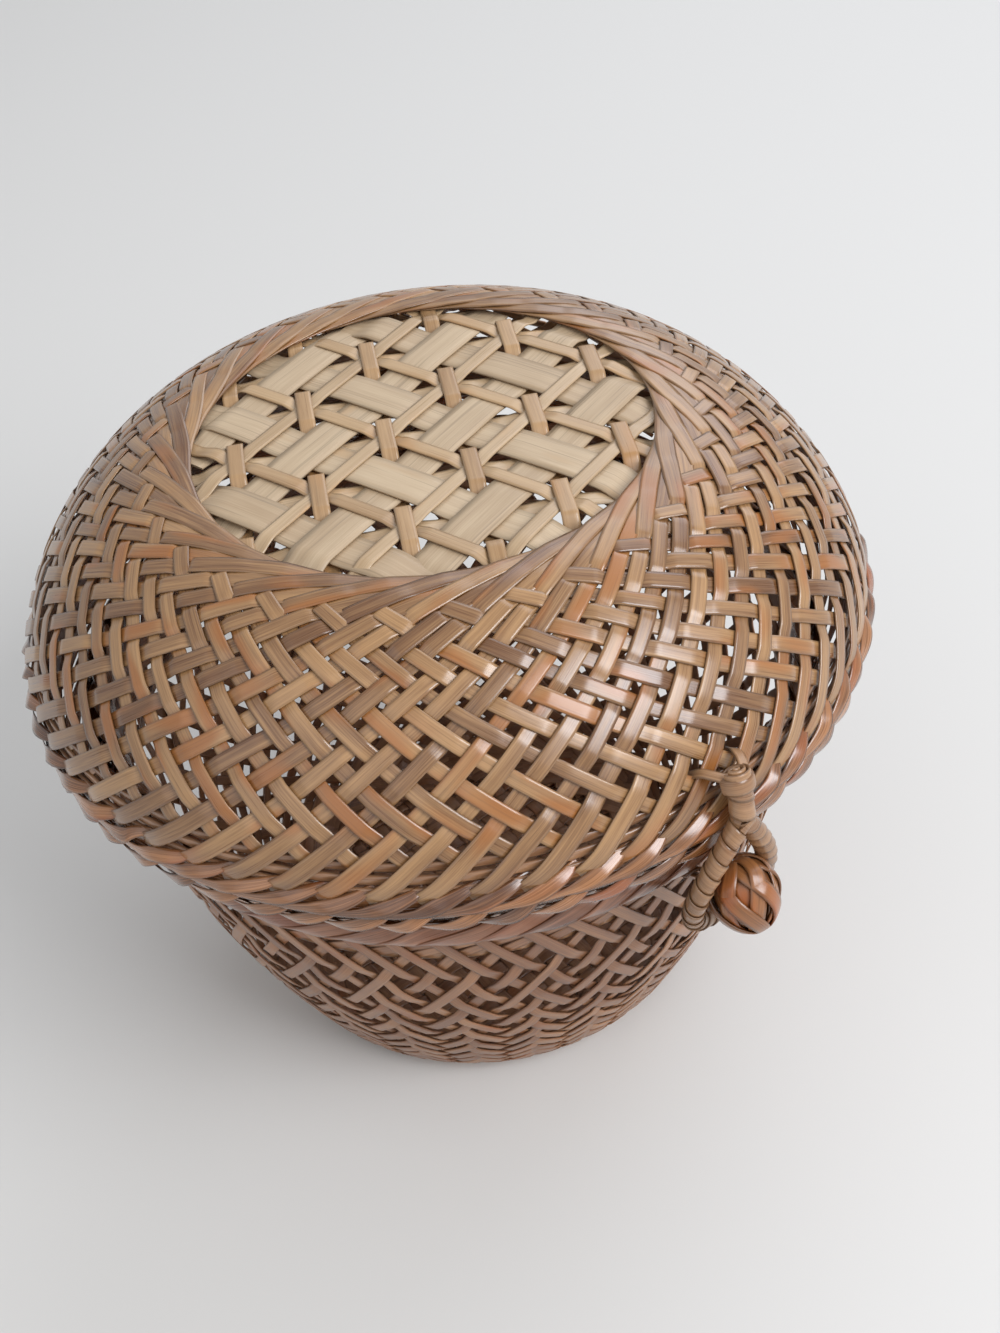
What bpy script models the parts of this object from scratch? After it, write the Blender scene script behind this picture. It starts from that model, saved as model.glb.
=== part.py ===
"""Lidded bamboo basket with a round woven body, a domed hinged lid and a loop-and-knob clasp.

Metres, +Z up. The origin is the centre of the underside. The clasp is at -Y and the hinge at +Y.
The twill walls are plain turned shells here; borders, hoops, panel strips, hinge and clasp are real pieces.
"""

import math

import bmesh
import bpy
from mathutils import Matrix, Vector
from mathutils.geometry import intersect_point_line

MM = 0.001

# Clearances
GAP = 0.3 * MM  # room between pieces that touch
RUNNING_GAP = 0.3 * MM  # room round a pivot

# Body
BODY_HEIGHT = 118.0 * MM  # underside to the plane where the two borders meet
BASE_RADIUS = 68.2 * MM
BODY_BELLY = 5.0 * MM  # how far the side bows out of a straight cone
WALL = 2.0 * MM  # two layers of crossing strips
OPENING_COLUMNS = 24  # openings round each twill wall, which stand for the many small gaps of the weave
BODY_OPEN_BANDS = (1, 3, 5, 7)  # bands between the body's rings that are open, from its border down
BASE_MAT_THICKNESS = 2.0 * MM
BASE_TURN = 7.0 * MM  # height and reach of the bend with which the wall strips turn in under the body
BASE_LAP = 9.0 * MM  # how far the turned-in wall lies over the base mat

# Borders and hoops, shared by body and lid
MOUTH_RADIUS = 103.6 * MM  # circle through the middle of both rope borders
ROPE_RADIUS = 4.1 * MM
HOOP_RADIUS = 1.5 * MM
BODY_HOOP_DROP = 18.0 * MM  # below the middle of the body's border
LID_HOOP_RISE = 20.75 * MM  # above the middle of the lid's border
LID_HOOP_STEP = 3.4 * MM  # from the lower lid hoop up to the upper one

# Lid
LID_RADIUS = 120.0 * MM
LID_HEIGHT = 75.0 * MM  # plane of the borders to the middle of the top panel
BULGE_HEIGHT = 20.0 * MM  # plane of the borders to the widest ring
DOME_POWER = 1.25  # 1 is an ellipse, more is a straighter shoulder
DOME_OPEN_BANDS = (2, 4, 6, 8)  # bands between the dome's rings that are open, from the crown down
CROWN_OUTER = 66.3 * MM  # the swirl of strips that rings the top panel
CROWN_INNER = 60.7 * MM
CROWN_GROOVE = 3.0 * MM  # how deep the panel strips reach into the crown
CROWN_TOP_LIP = 0.9 * MM
CROWN_FOOT = 1.4 * MM

# Top panel: a square lattice of wide and narrow strips
PITCH = 28.2 * MM
PANEL_SHIFT_B = 1.236  # lid axis in pitches from a star of the lattice, along direction b
PANEL_SHIFT_A = 0.25  # and along direction a
PANEL_TURN = math.radians(-72.1)  # direction b, counted from +X
WIDE_WIDTH = 12.4 * MM
WIDE_THICKNESS = 0.7 * MM
WIDE_WAVE = 0.55 * MM  # half of the rise of a wide strip over the next
NARROW_WIDTH = 4.6 * MM
NARROW_THICKNESS = 0.5 * MM
WIDE_ROWS_B = (-1.5, -0.5, 0.5, 1.5, 2.5)
WIDE_ROWS_A = (-0.5, 0.5, 1.5, 2.5, 3.5)
NARROW_ROWS_B = (-1, 0, 1, 2)
NARROW_ROWS_A = (0, 1, 2, 3)

# Hinge: a cane pin behind the borders, held by rattan ties round each border
PIN_RADIUS = 1.5 * MM
PIN_OVERHANG = 5.0 * MM
TIE_RADIUS = 1.0 * MM
TIE_SPACING = 14.0 * MM  # from the lid's middle tie to each of the body's ties

# Clasp: a bound loop that hangs from a staple in the lid and slips over a braided knob
STAPLE_RADIUS = 1.2 * MM
STAPLE_WIDTH = 13.0 * MM
STAPLE_RISE = 38.0 * MM  # plane of the borders to the loop's pivot
STAPLE_STANDOFF = 1.1 * MM  # pivot outside the lid's widest ring
STAPLE_DEPTH = 11.0 * MM  # pivot to the staple's inner bar
STAPLE_BEND = 1.6 * MM  # reach of its corner bends
EYE_WALL = 1.3 * MM  # thickness of the rolled eye that turns on the staple
LOOP_CORE_RADIUS = 1.6 * MM
BINDING_THICKNESS = 1.0 * MM
BINDING_TURN = 4.7 * MM  # along the loop, one turn of the binding strip
BINDING_STEP = 0.3 * MM  # how far each turn's edge stands over the next
BINDING_EDGE = 0.1 * MM  # from the end of one turn to the start of the next
LOOP_DROP = 54.4 * MM  # pivot to the middle of the loop's bottom
LOOP_STANDOFF = 4.9 * MM  # the loop's bottom outside the borders
LOOP_BOW = 7.4 * MM  # how far the loop is pushed out as it passes the lid's widest ring
LOOP_HALF_WIDTH = 12.8 * MM
LOOP_SPLIT = 0.29  # share of the drop at which the neck parts into two legs
LOOP_SPREAD = math.radians(32)  # angle of the teardrop at which a leg leaves the neck
LOOP_BEND_RISE = 6.5 * MM  # bend of the hanging loop above the middle of its drop
CROTCH_SIZE = (3.6 * MM, 2.3 * MM, 2.8 * MM)  # half sizes of the lump where the legs meet the neck
CROTCH_SHARE = 0.33  # share of the drop at that lump's middle
NECK_TURNS = 3
NECK_FOOT = 13.8 * MM  # pivot to the lower end of the neck's binding
NECK_HALF_WIDTH = 3.8 * MM
KNOB_RADIUS = 8.8 * MM
KNOB_HALF_LENGTH = 10.3 * MM
KNOB_TILT = math.radians(56)  # knob axis below the outward direction
KNOB_DROP = 40.2 * MM  # pivot to the knob's middle
KNOB_STANDOFF = 8.3 * MM  # the knob's side outside the borders
KNOB_LOBES = 5
KNOB_LOBE_DEPTH = 0.5 * MM
KNOB_TWIST = 3.0  # how fast the lobes wind round from pole to pole
KNOB_RINGS = 12
KNOB_CORNERS = 20
STEM_RADIUS = 2.4 * MM
STEM_ROOT_DROP = 7.8 * MM  # stem below the middle of the body's border, where it leaves the wall
STEM_REACH = 3.5 * MM  # stem's end inside the knob, behind the knob's middle
KNOT_RADIUS = 1.2 * MM

# Facets
ROUND_STEPS = 2 * OPENING_COLUMNS
SECTION_CORNERS = 8
DOME_RINGS = 12
UNDERCUT_RINGS = 3
UNDERCUT_ARC = math.radians(81)  # part of the quarter arc that is turned before the wall reaches the border
BODY_RINGS = 11
HOOP_CORNERS = 6
TIE_CORNERS = 6
EYE_CORNERS = 12
BELT_STEPS = 10
LEG_STEPS = 26
NECK_STEPS = 5
STEM_STEPS = 12
KNOT_STEPS = 14
FINE_STEPS = 720
SHARP_ANGLE = math.radians(40)
MERGE = 0.0001 * MM
HOOP_SEARCH_STEP = 0.05 * MM
TURN_SHARES = (0.4, 0.75, 1.0)  # points of the bend under the body
CROTCH_SEGMENTS = 14
CROTCH_RINGS = 8

# Heights and radii that follow
JOINT_Z = BODY_HEIGHT
BODY_ROPE_Z = JOINT_Z - GAP / 2 - ROPE_RADIUS
LID_ROPE_Z = JOINT_Z + GAP / 2 + ROPE_RADIUS
PANEL_Z = JOINT_Z + LID_HEIGHT
BULGE_Z = JOINT_Z + BULGE_HEIGHT
SEAT_Z = BODY_ROPE_Z - ROPE_RADIUS - GAP
NARROW_LIFT = WIDE_THICKNESS / 2 + WIDE_WAVE / 2 + GAP + NARROW_THICKNESS / 2
CROWN_TOP_Z = PANEL_Z + NARROW_LIFT + NARROW_THICKNESS / 2 + GAP + CROWN_TOP_LIP
CROWN_FOOT_Z = PANEL_Z - WIDE_WAVE - WIDE_THICKNESS / 2 - GAP - CROWN_FOOT
PANEL_CUT_RADIUS = CROWN_INNER + CROWN_GROOVE - GAP
PIVOT_Z = JOINT_Z + STAPLE_RISE
PIVOT_OUT = LID_RADIUS + STAPLE_STANDOFF
BINDING_INNER = LOOP_CORE_RADIUS + GAP
BINDING_OUTER = BINDING_INNER + BINDING_THICKNESS
BORDER_OUT = MOUTH_RADIUS + ROPE_RADIUS
LOOP_FOOT_OUT = BORDER_OUT + LOOP_STANDOFF + BINDING_OUTER
KNOB_OUT = BORDER_OUT + KNOB_STANDOFF + KNOB_RADIUS
EYE_BORE = STAPLE_RADIUS + RUNNING_GAP
EYE_OUTER = EYE_BORE + EYE_WALL
PIN_RING = PIN_RADIUS + RUNNING_GAP + TIE_RADIUS
ROPE_RING = ROPE_RADIUS + GAP + TIE_RADIUS
HINGE_Z = JOINT_Z
HINGE_OUT = MOUTH_RADIUS + math.sqrt(
    (ROPE_RADIUS + PIN_RING + TIE_RADIUS + 2 * GAP) ** 2 - (ROPE_RADIUS + GAP / 2) ** 2
)

FINISHES = {
    "dome_strip": ((0.42, 0.24, 0.11), 0.45),
    "body_strip": ((0.36, 0.19, 0.09), 0.50),
    "rope_strand": ((0.30, 0.15, 0.07), 0.40),
    "wide_strip": ((0.62, 0.44, 0.24), 0.50),
    "narrow_strip": ((0.50, 0.32, 0.15), 0.50),
    "hoop_cane": ((0.33, 0.18, 0.09), 0.55),
    "binding_strip": ((0.45, 0.29, 0.13), 0.40),
    "knob_braid": ((0.52, 0.25, 0.08), 0.35),
    "rattan_core": ((0.40, 0.24, 0.11), 0.55),
}


def clear_scene():
    """Takes every object out of the scene."""
    for old in list(bpy.data.objects):
        bpy.data.objects.remove(old, do_unlink=True)


def finish(name):
    """The Principled material of this name, made once."""
    found = bpy.data.materials.get(name)
    if found:
        return found
    colour, roughness = FINISHES[name]
    made = bpy.data.materials.new(name)
    made.use_nodes = True
    shader = made.node_tree.nodes["Principled BSDF"]
    shader.inputs["Base Color"].default_value = (*colour, 1.0)
    shader.inputs["Roughness"].default_value = roughness
    shader.inputs["Metallic"].default_value = 0.0
    return made


def place(bm, name, material):
    """Makes an object of a closed mesh, with its faces out and round edges smooth."""
    bmesh.ops.remove_doubles(bm, verts=bm.verts, dist=MERGE)
    bmesh.ops.recalc_face_normals(bm, faces=bm.faces)
    mesh = bpy.data.meshes.new(name)
    bm.to_mesh(mesh)
    bm.free()
    mesh.shade_smooth()
    mesh.set_sharp_from_angle(angle=SHARP_ANGLE)
    made = bpy.data.objects.new(name, mesh)
    if material:
        made.data.materials.append(finish(material))
    bpy.context.collection.objects.link(made)
    return made


def turned(name, outline, material):
    """Spins a closed outline of (radius, height) points round Z."""
    bm = bmesh.new()
    points = [bm.verts.new((r, 0.0, z)) for r, z in outline]
    sides = [bm.edges.new(pair) for pair in zip(points, points[1:] + points[:1])]
    bmesh.ops.spin(
        bm, geom=points + sides, cent=(0, 0, 0), axis=(0, 0, 1),
        angle=math.tau, steps=ROUND_STEPS, use_merge=True,
    )
    return place(bm, name, material)


def openwork(name, outline, inside, open_bands, material):
    """A turned wall, open in every other facet of some of its bands; the openings of two rows are staggered."""
    section = outline + inside
    count = len(section)
    bm = bmesh.new()
    columns = []
    for k in range(ROUND_STEPS):
        angle = math.tau * k / ROUND_STEPS
        columns.append([bm.verts.new((r * math.cos(angle), r * math.sin(angle), z)) for r, z in section])
    for k, column in enumerate(columns):
        after = columns[(k + 1) % ROUND_STEPS]
        opened = [band for row, band in enumerate(open_bands) if (k + row) % 2 == 0]
        inner_bands = [count - 2 - band for band in opened]
        for i in range(count):
            j = (i + 1) % count
            if i not in opened and i not in inner_bands:
                bm.faces.new((column[i], column[j], after[j], after[i]))
        for band in opened:
            for i in (band, band + 1):
                bm.faces.new((column[i], after[i], after[count - 1 - i], column[count - 1 - i]))
            for side in (column, after):
                bm.faces.new((side[band], side[band + 1], side[count - 2 - band], side[count - 1 - band]))
    return place(bm, name, material)


def ring(name, radius, height, section_radius, material, corners=SECTION_CORNERS):
    """A ring of round section about Z."""
    angles = [math.tau * i / corners for i in range(corners)]
    outline = [
        (radius + section_radius * math.cos(a), height + section_radius * math.sin(a)) for a in angles
    ]
    return turned(name, outline, material)


def disc(name, radius, low, high, material):
    """A flat round plate with its axis on Z."""
    bm = bmesh.new()
    bmesh.ops.create_cone(
        bm, cap_ends=True, segments=ROUND_STEPS, radius1=radius, radius2=radius, depth=high - low,
        matrix=Matrix.Translation((0, 0, (low + high) / 2)),
    )
    return place(bm, name, material)


def block(name, low, high, material=None):
    """A box between two corners."""
    bm = bmesh.new()
    low, high = Vector(low), Vector(high)
    size = high - low
    bmesh.ops.create_cube(
        bm, size=1.0, matrix=Matrix.Translation((low + high) / 2) @ Matrix.Diagonal((*size, 1.0))
    )
    return place(bm, name, material)


def rod(name, points, radius, material=None, closed=False, corners=SECTION_CORNERS):
    """A round rod along the points, with capped ends or closed on itself."""
    curve = bpy.data.curves.new(name, "CURVE")
    curve.dimensions = "3D"
    curve.bevel_depth = radius
    curve.bevel_resolution = (corners - 4) // 2
    curve.use_fill_caps = not closed
    spline = curve.splines.new("POLY")
    spline.points.add(len(points) - 1)
    for spot, point in zip(spline.points, points):
        spot.co = (*point, 1.0)
    spline.use_cyclic_u = closed
    guide = bpy.data.objects.new(name + "_guide", curve)
    bpy.context.collection.objects.link(guide)
    bpy.context.view_layer.update()
    solid = guide.evaluated_get(bpy.context.evaluated_depsgraph_get())
    mesh = bpy.data.meshes.new_from_object(solid)
    bpy.data.objects.remove(guide, do_unlink=True)
    bm = bmesh.new()
    bm.from_mesh(mesh)
    bpy.data.meshes.remove(mesh)
    return place(bm, name, material)


def combine(target, other, operation):
    """Cuts other out of target, adds it, or keeps what both share; other becomes a guide."""
    change = target.modifiers.new(other.name, "BOOLEAN")
    change.operation = operation
    change.solver = "EXACT"
    change.object = other
    other.hide_render = True
    other.display_type = "WIRE"


def tangents(points):
    """The unit direction at each point of an open path."""
    ends = [points[0]] + list(points) + [points[-1]]
    return [(ends[i + 2] - ends[i]).normalized() for i in range(len(points))]


def sleeve(name, points, outer_radii, inner_radius, material, side_stretch=1.0, corners=SECTION_CORNERS):
    """A hollow tube along an open path, open at both ends."""
    bm = bmesh.new()
    along = tangents(points)
    side = along[0].orthogonal().normalized()
    if side_stretch != 1.0:
        side = Vector((1, 0, 0))
    rings = []
    for point, direction, outer in zip(points, along, outer_radii):
        side = (side - side.dot(direction) * direction).normalized()
        up = direction.cross(side)
        loops = []
        for radius, stretch in ((outer, side_stretch), (inner_radius, 1.0)):
            loop = []
            for i in range(corners):
                angle = math.tau * i / corners
                offset = side * math.cos(angle) * stretch + up * math.sin(angle)
                loop.append(bm.verts.new(point + radius * offset))
            loops.append(loop)
        rings.append(loops)
    for first, second in zip(rings, rings[1:]):
        for layer in (0, 1):
            for i in range(corners):
                j = (i + 1) % corners
                bm.faces.new((first[layer][i], first[layer][j], second[layer][j], second[layer][i]))
    for loops in (rings[0], rings[-1]):
        for i in range(corners):
            j = (i + 1) % corners
            bm.faces.new((loops[0][i], loops[0][j], loops[1][j], loops[1][i]))
    return place(bm, name, material)


def dome_outline():
    """The lid's outer surface from the crown down over the bulge to the border, as (radius, height)."""
    start = CROWN_OUTER + GAP
    points = []
    for i in range(DOME_RINGS + 1):
        angle = math.pi / 2 * i / DOME_RINGS
        radius = start + (LID_RADIUS - start) * math.sin(angle) ** DOME_POWER
        height = BULGE_Z + (CROWN_TOP_Z - CROWN_TOP_LIP - BULGE_Z) * math.cos(angle) ** DOME_POWER
        points.append((radius, height))
    end = (ROPE_RADIUS + GAP + WALL) * math.cos(math.pi / 4)
    end_radius = MOUTH_RADIUS + end
    end_height = LID_ROPE_Z + end
    for i in range(1, UNDERCUT_RINGS + 1):
        angle = UNDERCUT_ARC * i / UNDERCUT_RINGS
        radius = end_radius + (LID_RADIUS - end_radius) * math.cos(angle)
        height = BULGE_Z - (BULGE_Z - end_height) * math.sin(angle)
        points.append((radius, height))
    points.append((end_radius, end_height))
    return points


def body_radius(height):
    """Outer radius of the body's side at a height."""
    u = 1 - height / BODY_ROPE_Z
    return MOUTH_RADIUS + (BASE_RADIUS - MOUTH_RADIUS) * u + 4 * BODY_BELLY * u * (1 - u)


def body_outline():
    """The body's outer surface from under the border down to the turned-in lap."""
    turn_top = BASE_MAT_THICKNESS + GAP + BASE_TURN
    points = []
    for i in range(BODY_RINGS):
        height = SEAT_Z + (turn_top - SEAT_Z) * i / (BODY_RINGS - 1)
        points.append((body_radius(height), height))
    floor = BASE_MAT_THICKNESS + GAP
    side = points[-1]
    corner = (side[0] + body_radius(floor) - body_radius(turn_top), floor)
    end = (corner[0] - BASE_TURN, floor)
    for share in TURN_SHARES:
        keep = 1 - share
        points.append(
            tuple(
                keep**2 * side[k] + 2 * keep * share * corner[k] + share**2 * end[k] for k in (0, 1)
            )
        )
    points.append((end[0] - BASE_LAP, floor))
    return points


def inside_of(outline, thickness, first_run):
    """The outline moved to the right of its travel by the thickness, in reverse order.

    first_run is the direction of travel that is taken at the first point, so that its edge comes out square.
    """
    moved = []
    last = len(outline) - 1
    for i, (r, z) in enumerate(outline):
        before = Vector(outline[max(i - 1, 0)])
        after = Vector(outline[min(i + 1, last)])
        run = (after - before).normalized() if i else Vector(first_run)
        moved.append((r + run.y * thickness, z - run.x * thickness))
    return moved[::-1]


def room_to(outline, point):
    """Distance from a point to the nearest stretch of an outline."""
    nearest = math.inf
    for start, end in zip(outline, outline[1:]):
        foot, share = intersect_point_line(point, Vector(start), Vector(end))
        share = min(max(share, 0.0), 1.0)
        foot = Vector(start).lerp(Vector(end), share)
        nearest = min(nearest, (Vector(point) - foot).length)
    return nearest


def hoop_radius(inner_outline, height):
    """Radius of the circle on which a hoop lies against the inside of a wall, the gap left out."""
    radius = MOUTH_RADIUS / 2
    while room_to(inner_outline, (radius, height)) > HOOP_RADIUS + GAP:
        radius += HOOP_SEARCH_STEP
    return radius - HOOP_SEARCH_STEP


def front(x, out, height):
    """A point on the clasp's side: x across, out from the axis towards -Y."""
    return Vector((x, -out, height))


def make_body():
    """Wall, base mat, border and hoop of the lower half."""
    outline = body_outline()
    inside = inside_of(outline, WALL, (0, -1))
    wall = openwork("body_wall", outline, inside, BODY_OPEN_BANDS, "body_strip")
    disc("base_mat", BASE_RADIUS - WALL, 0.0, BASE_MAT_THICKNESS, "body_strip")
    rope = ring("body_rope", MOUTH_RADIUS, BODY_ROPE_Z, ROPE_RADIUS, "rope_strand")
    hoop_z = BODY_ROPE_Z - BODY_HOOP_DROP
    ring("body_hoop", hoop_radius(inside, hoop_z), hoop_z, HOOP_RADIUS, "hoop_cane", HOOP_CORNERS)
    return wall, rope


def make_lid():
    """Dome, crown, border and hoops of the lid."""
    outline = dome_outline()
    inside = inside_of(outline, WALL, (1, 0))
    dome = openwork("lid_dome", outline, inside, DOME_OPEN_BANDS, "dome_strip")
    groove_top = CROWN_TOP_Z - CROWN_TOP_LIP
    groove_foot = CROWN_FOOT_Z + CROWN_FOOT
    middle = (CROWN_OUTER + CROWN_INNER) / 2
    crown = [
        (CROWN_INNER, groove_top),
        (middle, CROWN_TOP_Z),
        (CROWN_OUTER, groove_top),
        (CROWN_OUTER, CROWN_FOOT_Z),
        (CROWN_INNER, CROWN_FOOT_Z),
        (CROWN_INNER, groove_foot),
        (CROWN_INNER + CROWN_GROOVE, groove_foot),
        (CROWN_INNER + CROWN_GROOVE, groove_top - GAP),
        (CROWN_INNER, groove_top - GAP),
    ]
    turned("lid_crown_ring", crown, "dome_strip")
    rope = ring("lid_rope", MOUTH_RADIUS, LID_ROPE_Z, ROPE_RADIUS, "rope_strand")
    for i, name in enumerate(("lid_hoop_lower", "lid_hoop_upper")):
        hoop_z = LID_ROPE_Z + LID_HOOP_RISE + i * LID_HOOP_STEP
        ring(name, hoop_radius(inside, hoop_z), hoop_z, HOOP_RADIUS, "hoop_cane", HOOP_CORNERS)
    return dome, rope


def strip(name, profile, across, along, width, thickness, offset, material):
    """A flat strip whose middle follows (distance, height) points; it runs along one panel direction."""
    bm = bmesh.new()
    rings = []
    for distance, height in profile:
        middle = along * distance + across * offset + Vector((0, 0, PANEL_Z + height))
        corners = [(-1, -1), (1, -1), (1, 1), (-1, 1)]
        rings.append(
            [
                bm.verts.new(middle + across * (i * width / 2) + Vector((0, 0, j * thickness / 2)))
                for i, j in corners
            ]
        )
    for first, second in zip(rings, rings[1:]):
        for i in range(4):
            j = (i + 1) % 4
            bm.faces.new((first[i], first[j], second[j], second[i]))
    bm.faces.new(rings[0])
    bm.faces.new(rings[-1])
    return place(bm, name, material)


def wide_profile(row, first_sign, shift):
    """A wide strip goes over and under the wide strips that cross it, one by one."""
    reach = math.ceil(PANEL_CUT_RADIUS / PITCH) + 1
    flat = WIDE_WIDTH / 2 + GAP
    points = []
    for block_row in range(-reach, reach + 1):
        crossing = block_row + 0.5 + math.floor(shift)
        sign = first_sign if (math.floor(crossing) + math.floor(row)) % 2 == 0 else -first_sign
        middle = (crossing - shift) * PITCH
        points.append((middle - flat, sign * WIDE_WAVE))
        points.append((middle + flat, sign * WIDE_WAVE))
    return points


def narrow_profile(shift, dips):
    """A narrow strip lies over the wide ones, and dips under the other narrow strip at each star."""
    reach = math.ceil(PANEL_CUT_RADIUS / PITCH) + 1
    if not dips:
        return [(-reach * PITCH, NARROW_LIFT), (reach * PITCH, NARROW_LIFT)]
    low = NARROW_LIFT - NARROW_THICKNESS - GAP
    inner = NARROW_WIDTH / 2 + GAP
    outer = (PITCH - WIDE_WIDTH) / 2 + GAP
    points = []
    for star in range(-reach, reach + 1):
        middle = (star + math.floor(shift) - shift) * PITCH
        points.append((middle - outer, NARROW_LIFT))
        points.append((middle - inner, low))
        points.append((middle + inner, low))
        points.append((middle + outer, NARROW_LIFT))
    return points


def make_panel():
    """The separate strips of the top panel, each trimmed round inside the crown's groove."""
    turn = Matrix.Rotation(PANEL_TURN, 3, "Z")
    b = turn @ Vector((1, 0, 0))
    a = turn @ Vector((0, 1, 0))
    trim = disc("panel_trim", PANEL_CUT_RADIUS, PANEL_Z - WIDE_WIDTH, PANEL_Z + WIDE_WIDTH, None)
    families = (
        ("b", b, a, PANEL_SHIFT_B, PANEL_SHIFT_A, 1, WIDE_ROWS_B, NARROW_ROWS_B),
        ("a", a, b, PANEL_SHIFT_A, PANEL_SHIFT_B, -1, WIDE_ROWS_A, NARROW_ROWS_A),
    )
    for letter, along, across, shift, cross_shift, sign, wide_rows, narrow_rows in families:
        for i, row in enumerate(wide_rows):
            made = strip(
                f"panel_wide_{letter}{i + 1}", wide_profile(row, sign, shift), across, along,
                WIDE_WIDTH, WIDE_THICKNESS, (row - cross_shift) * PITCH, "wide_strip",
            )
            combine(made, trim, "INTERSECT")
        for i, row in enumerate(narrow_rows):
            made = strip(
                f"panel_narrow_{letter}{i + 1}", narrow_profile(shift, letter == "b"), across, along,
                NARROW_WIDTH, NARROW_THICKNESS, (row - cross_shift) * PITCH, "narrow_strip",
            )
            combine(made, trim, "INTERSECT")


def belt(first, first_radius, second, second_radius):
    """Points of a cord pulled round two circles in a plane, as pairs."""
    run = Vector(second) - Vector(first)
    heading = math.atan2(run.y, run.x)
    lean = math.acos((first_radius - second_radius) / run.length)
    points = []
    for i in range(BELT_STEPS + 1):
        angle = heading + lean + (math.tau - 2 * lean) * i / BELT_STEPS
        points.append((first[0] + first_radius * math.cos(angle), first[1] + first_radius * math.sin(angle)))
    steps = BELT_STEPS // 2
    for i in range(steps + 1):
        angle = heading - lean + 2 * lean * i / steps
        points.append(
            (second[0] + second_radius * math.cos(angle), second[1] + second_radius * math.sin(angle))
        )
    return points


def make_hinge(body_parts, lid_parts):
    """Pin and ties at the back, with the slots that the ties need in borders and walls."""
    half = TIE_SPACING + PIN_OVERHANG
    pin_ends = [Vector((x, HINGE_OUT, HINGE_Z)) for x in (-half, half)]
    rod("hinge_pin", pin_ends, PIN_RADIUS, "rattan_core")
    body_wall, body_rope = body_parts
    lid_dome, lid_rope = lid_parts
    room = TIE_RADIUS + GAP
    ties = (
        ("lid_hinge_tie", 0.0, LID_ROPE_Z),
        ("body_hinge_tie_left", -TIE_SPACING, BODY_ROPE_Z),
        ("body_hinge_tie_right", TIE_SPACING, BODY_ROPE_Z),
    )
    for name, x, rope_z in ties:
        rope_y = math.sqrt(MOUTH_RADIUS**2 - x**2)
        path = belt((rope_y, rope_z), ROPE_RING, (HINGE_OUT, HINGE_Z), PIN_RING)
        points = [Vector((x, y, z)) for y, z in path]
        rod(name, points, TIE_RADIUS, "rattan_core", closed=True, corners=TIE_CORNERS)
        inner = rope_y - ROPE_RING - room - GAP
        outer = HINGE_OUT
        depth = ROPE_RING - ROPE_RADIUS + room + (ROPE_RING - PIN_RING) / 2
        if rope_z == LID_ROPE_Z:
            slot = block(
                name + "_slot", (x - room, inner, JOINT_Z - depth), (x + room, outer, JOINT_Z)
            )
            combine(body_rope, slot, "DIFFERENCE")
            notch_top = rope_z + ROPE_RING + room
            notch = block(
                name + "_notch", (x - room, inner, LID_ROPE_Z), (x + room, LID_RADIUS, notch_top)
            )
            combine(lid_dome, notch, "DIFFERENCE")
        else:
            slot = block(
                name + "_slot", (x - room, inner, JOINT_Z), (x + room, outer, JOINT_Z + depth)
            )
            combine(lid_rope, slot, "DIFFERENCE")
            notch_foot = rope_z - ROPE_RING - room
            notch = block(
                name + "_notch", (x - room, inner, notch_foot), (x + room, outer, BODY_ROPE_Z)
            )
            combine(body_wall, notch, "DIFFERENCE")


def loop_middle(share):
    """Middle line of the hanging loop, as (out, height), at a share of the way from pivot to bottom."""
    top = Vector((PIVOT_OUT, PIVOT_Z))
    bottom = Vector((LOOP_FOOT_OUT, PIVOT_Z - LOOP_DROP))
    bend = Vector((PIVOT_OUT + LOOP_BOW, (top.y + bottom.y) / 2 + LOOP_BEND_RISE))
    return (1 - share) ** 2 * top + 2 * share * (1 - share) * bend + share**2 * bottom


def loop_point(angle):
    """A point of the teardrop at an angle from its top (0) through one side to its bottom (pi)."""
    share = LOOP_SPLIT + (1 - LOOP_SPLIT) * (1 - math.cos(angle)) / 2
    widest = 4 / math.sqrt(27)  # greatest value of sin(a) * sin(a / 2)
    x = LOOP_HALF_WIDTH / widest * math.sin(angle) * abs(math.sin(angle / 2))
    out, height = loop_middle(share)
    return front(x, out, height)


def make_loop():
    """The clasp loop's core: two legs that part from a neck, with a rolled eye at the top."""
    turn = math.tau - 2 * LOOP_SPREAD
    path = [loop_point(LOOP_SPREAD + turn * i / LEG_STEPS) for i in range(LEG_STEPS + 1)]
    core = rod("loop_core", path, LOOP_CORE_RADIUS, "rattan_core")
    bm = bmesh.new()
    bmesh.ops.create_uvsphere(bm, u_segments=CROTCH_SEGMENTS, v_segments=CROTCH_RINGS, radius=1.0)
    bmesh.ops.scale(bm, vec=CROTCH_SIZE, verts=bm.verts)
    bmesh.ops.translate(bm, vec=front(0, *loop_middle(CROTCH_SHARE)), verts=bm.verts)
    crotch = place(bm, "loop_crotch_part", None)
    neck_start = (EYE_BORE + EYE_WALL / 2) / LOOP_DROP
    run = CROTCH_SHARE - neck_start
    neck_path = [front(0, *loop_middle(neck_start + run * i / NECK_STEPS)) for i in range(NECK_STEPS + 1)]
    neck = rod("loop_neck_part", neck_path, LOOP_CORE_RADIUS)
    eye_ends = [front(x, PIVOT_OUT, PIVOT_Z) for x in (-NECK_HALF_WIDTH, NECK_HALF_WIDTH)]
    eye = rod("loop_eye_part", eye_ends, EYE_OUTER, corners=EYE_CORNERS)
    bore_half = NECK_HALF_WIDTH + EYE_WALL
    bore_ends = [front(x, PIVOT_OUT, PIVOT_Z) for x in (-bore_half, bore_half)]
    bore = rod("loop_eye_bore", bore_ends, EYE_BORE, corners=EYE_CORNERS)
    for piece in (crotch, neck, eye):
        combine(core, piece, "UNION")
    combine(core, bore, "DIFFERENCE")


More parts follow.
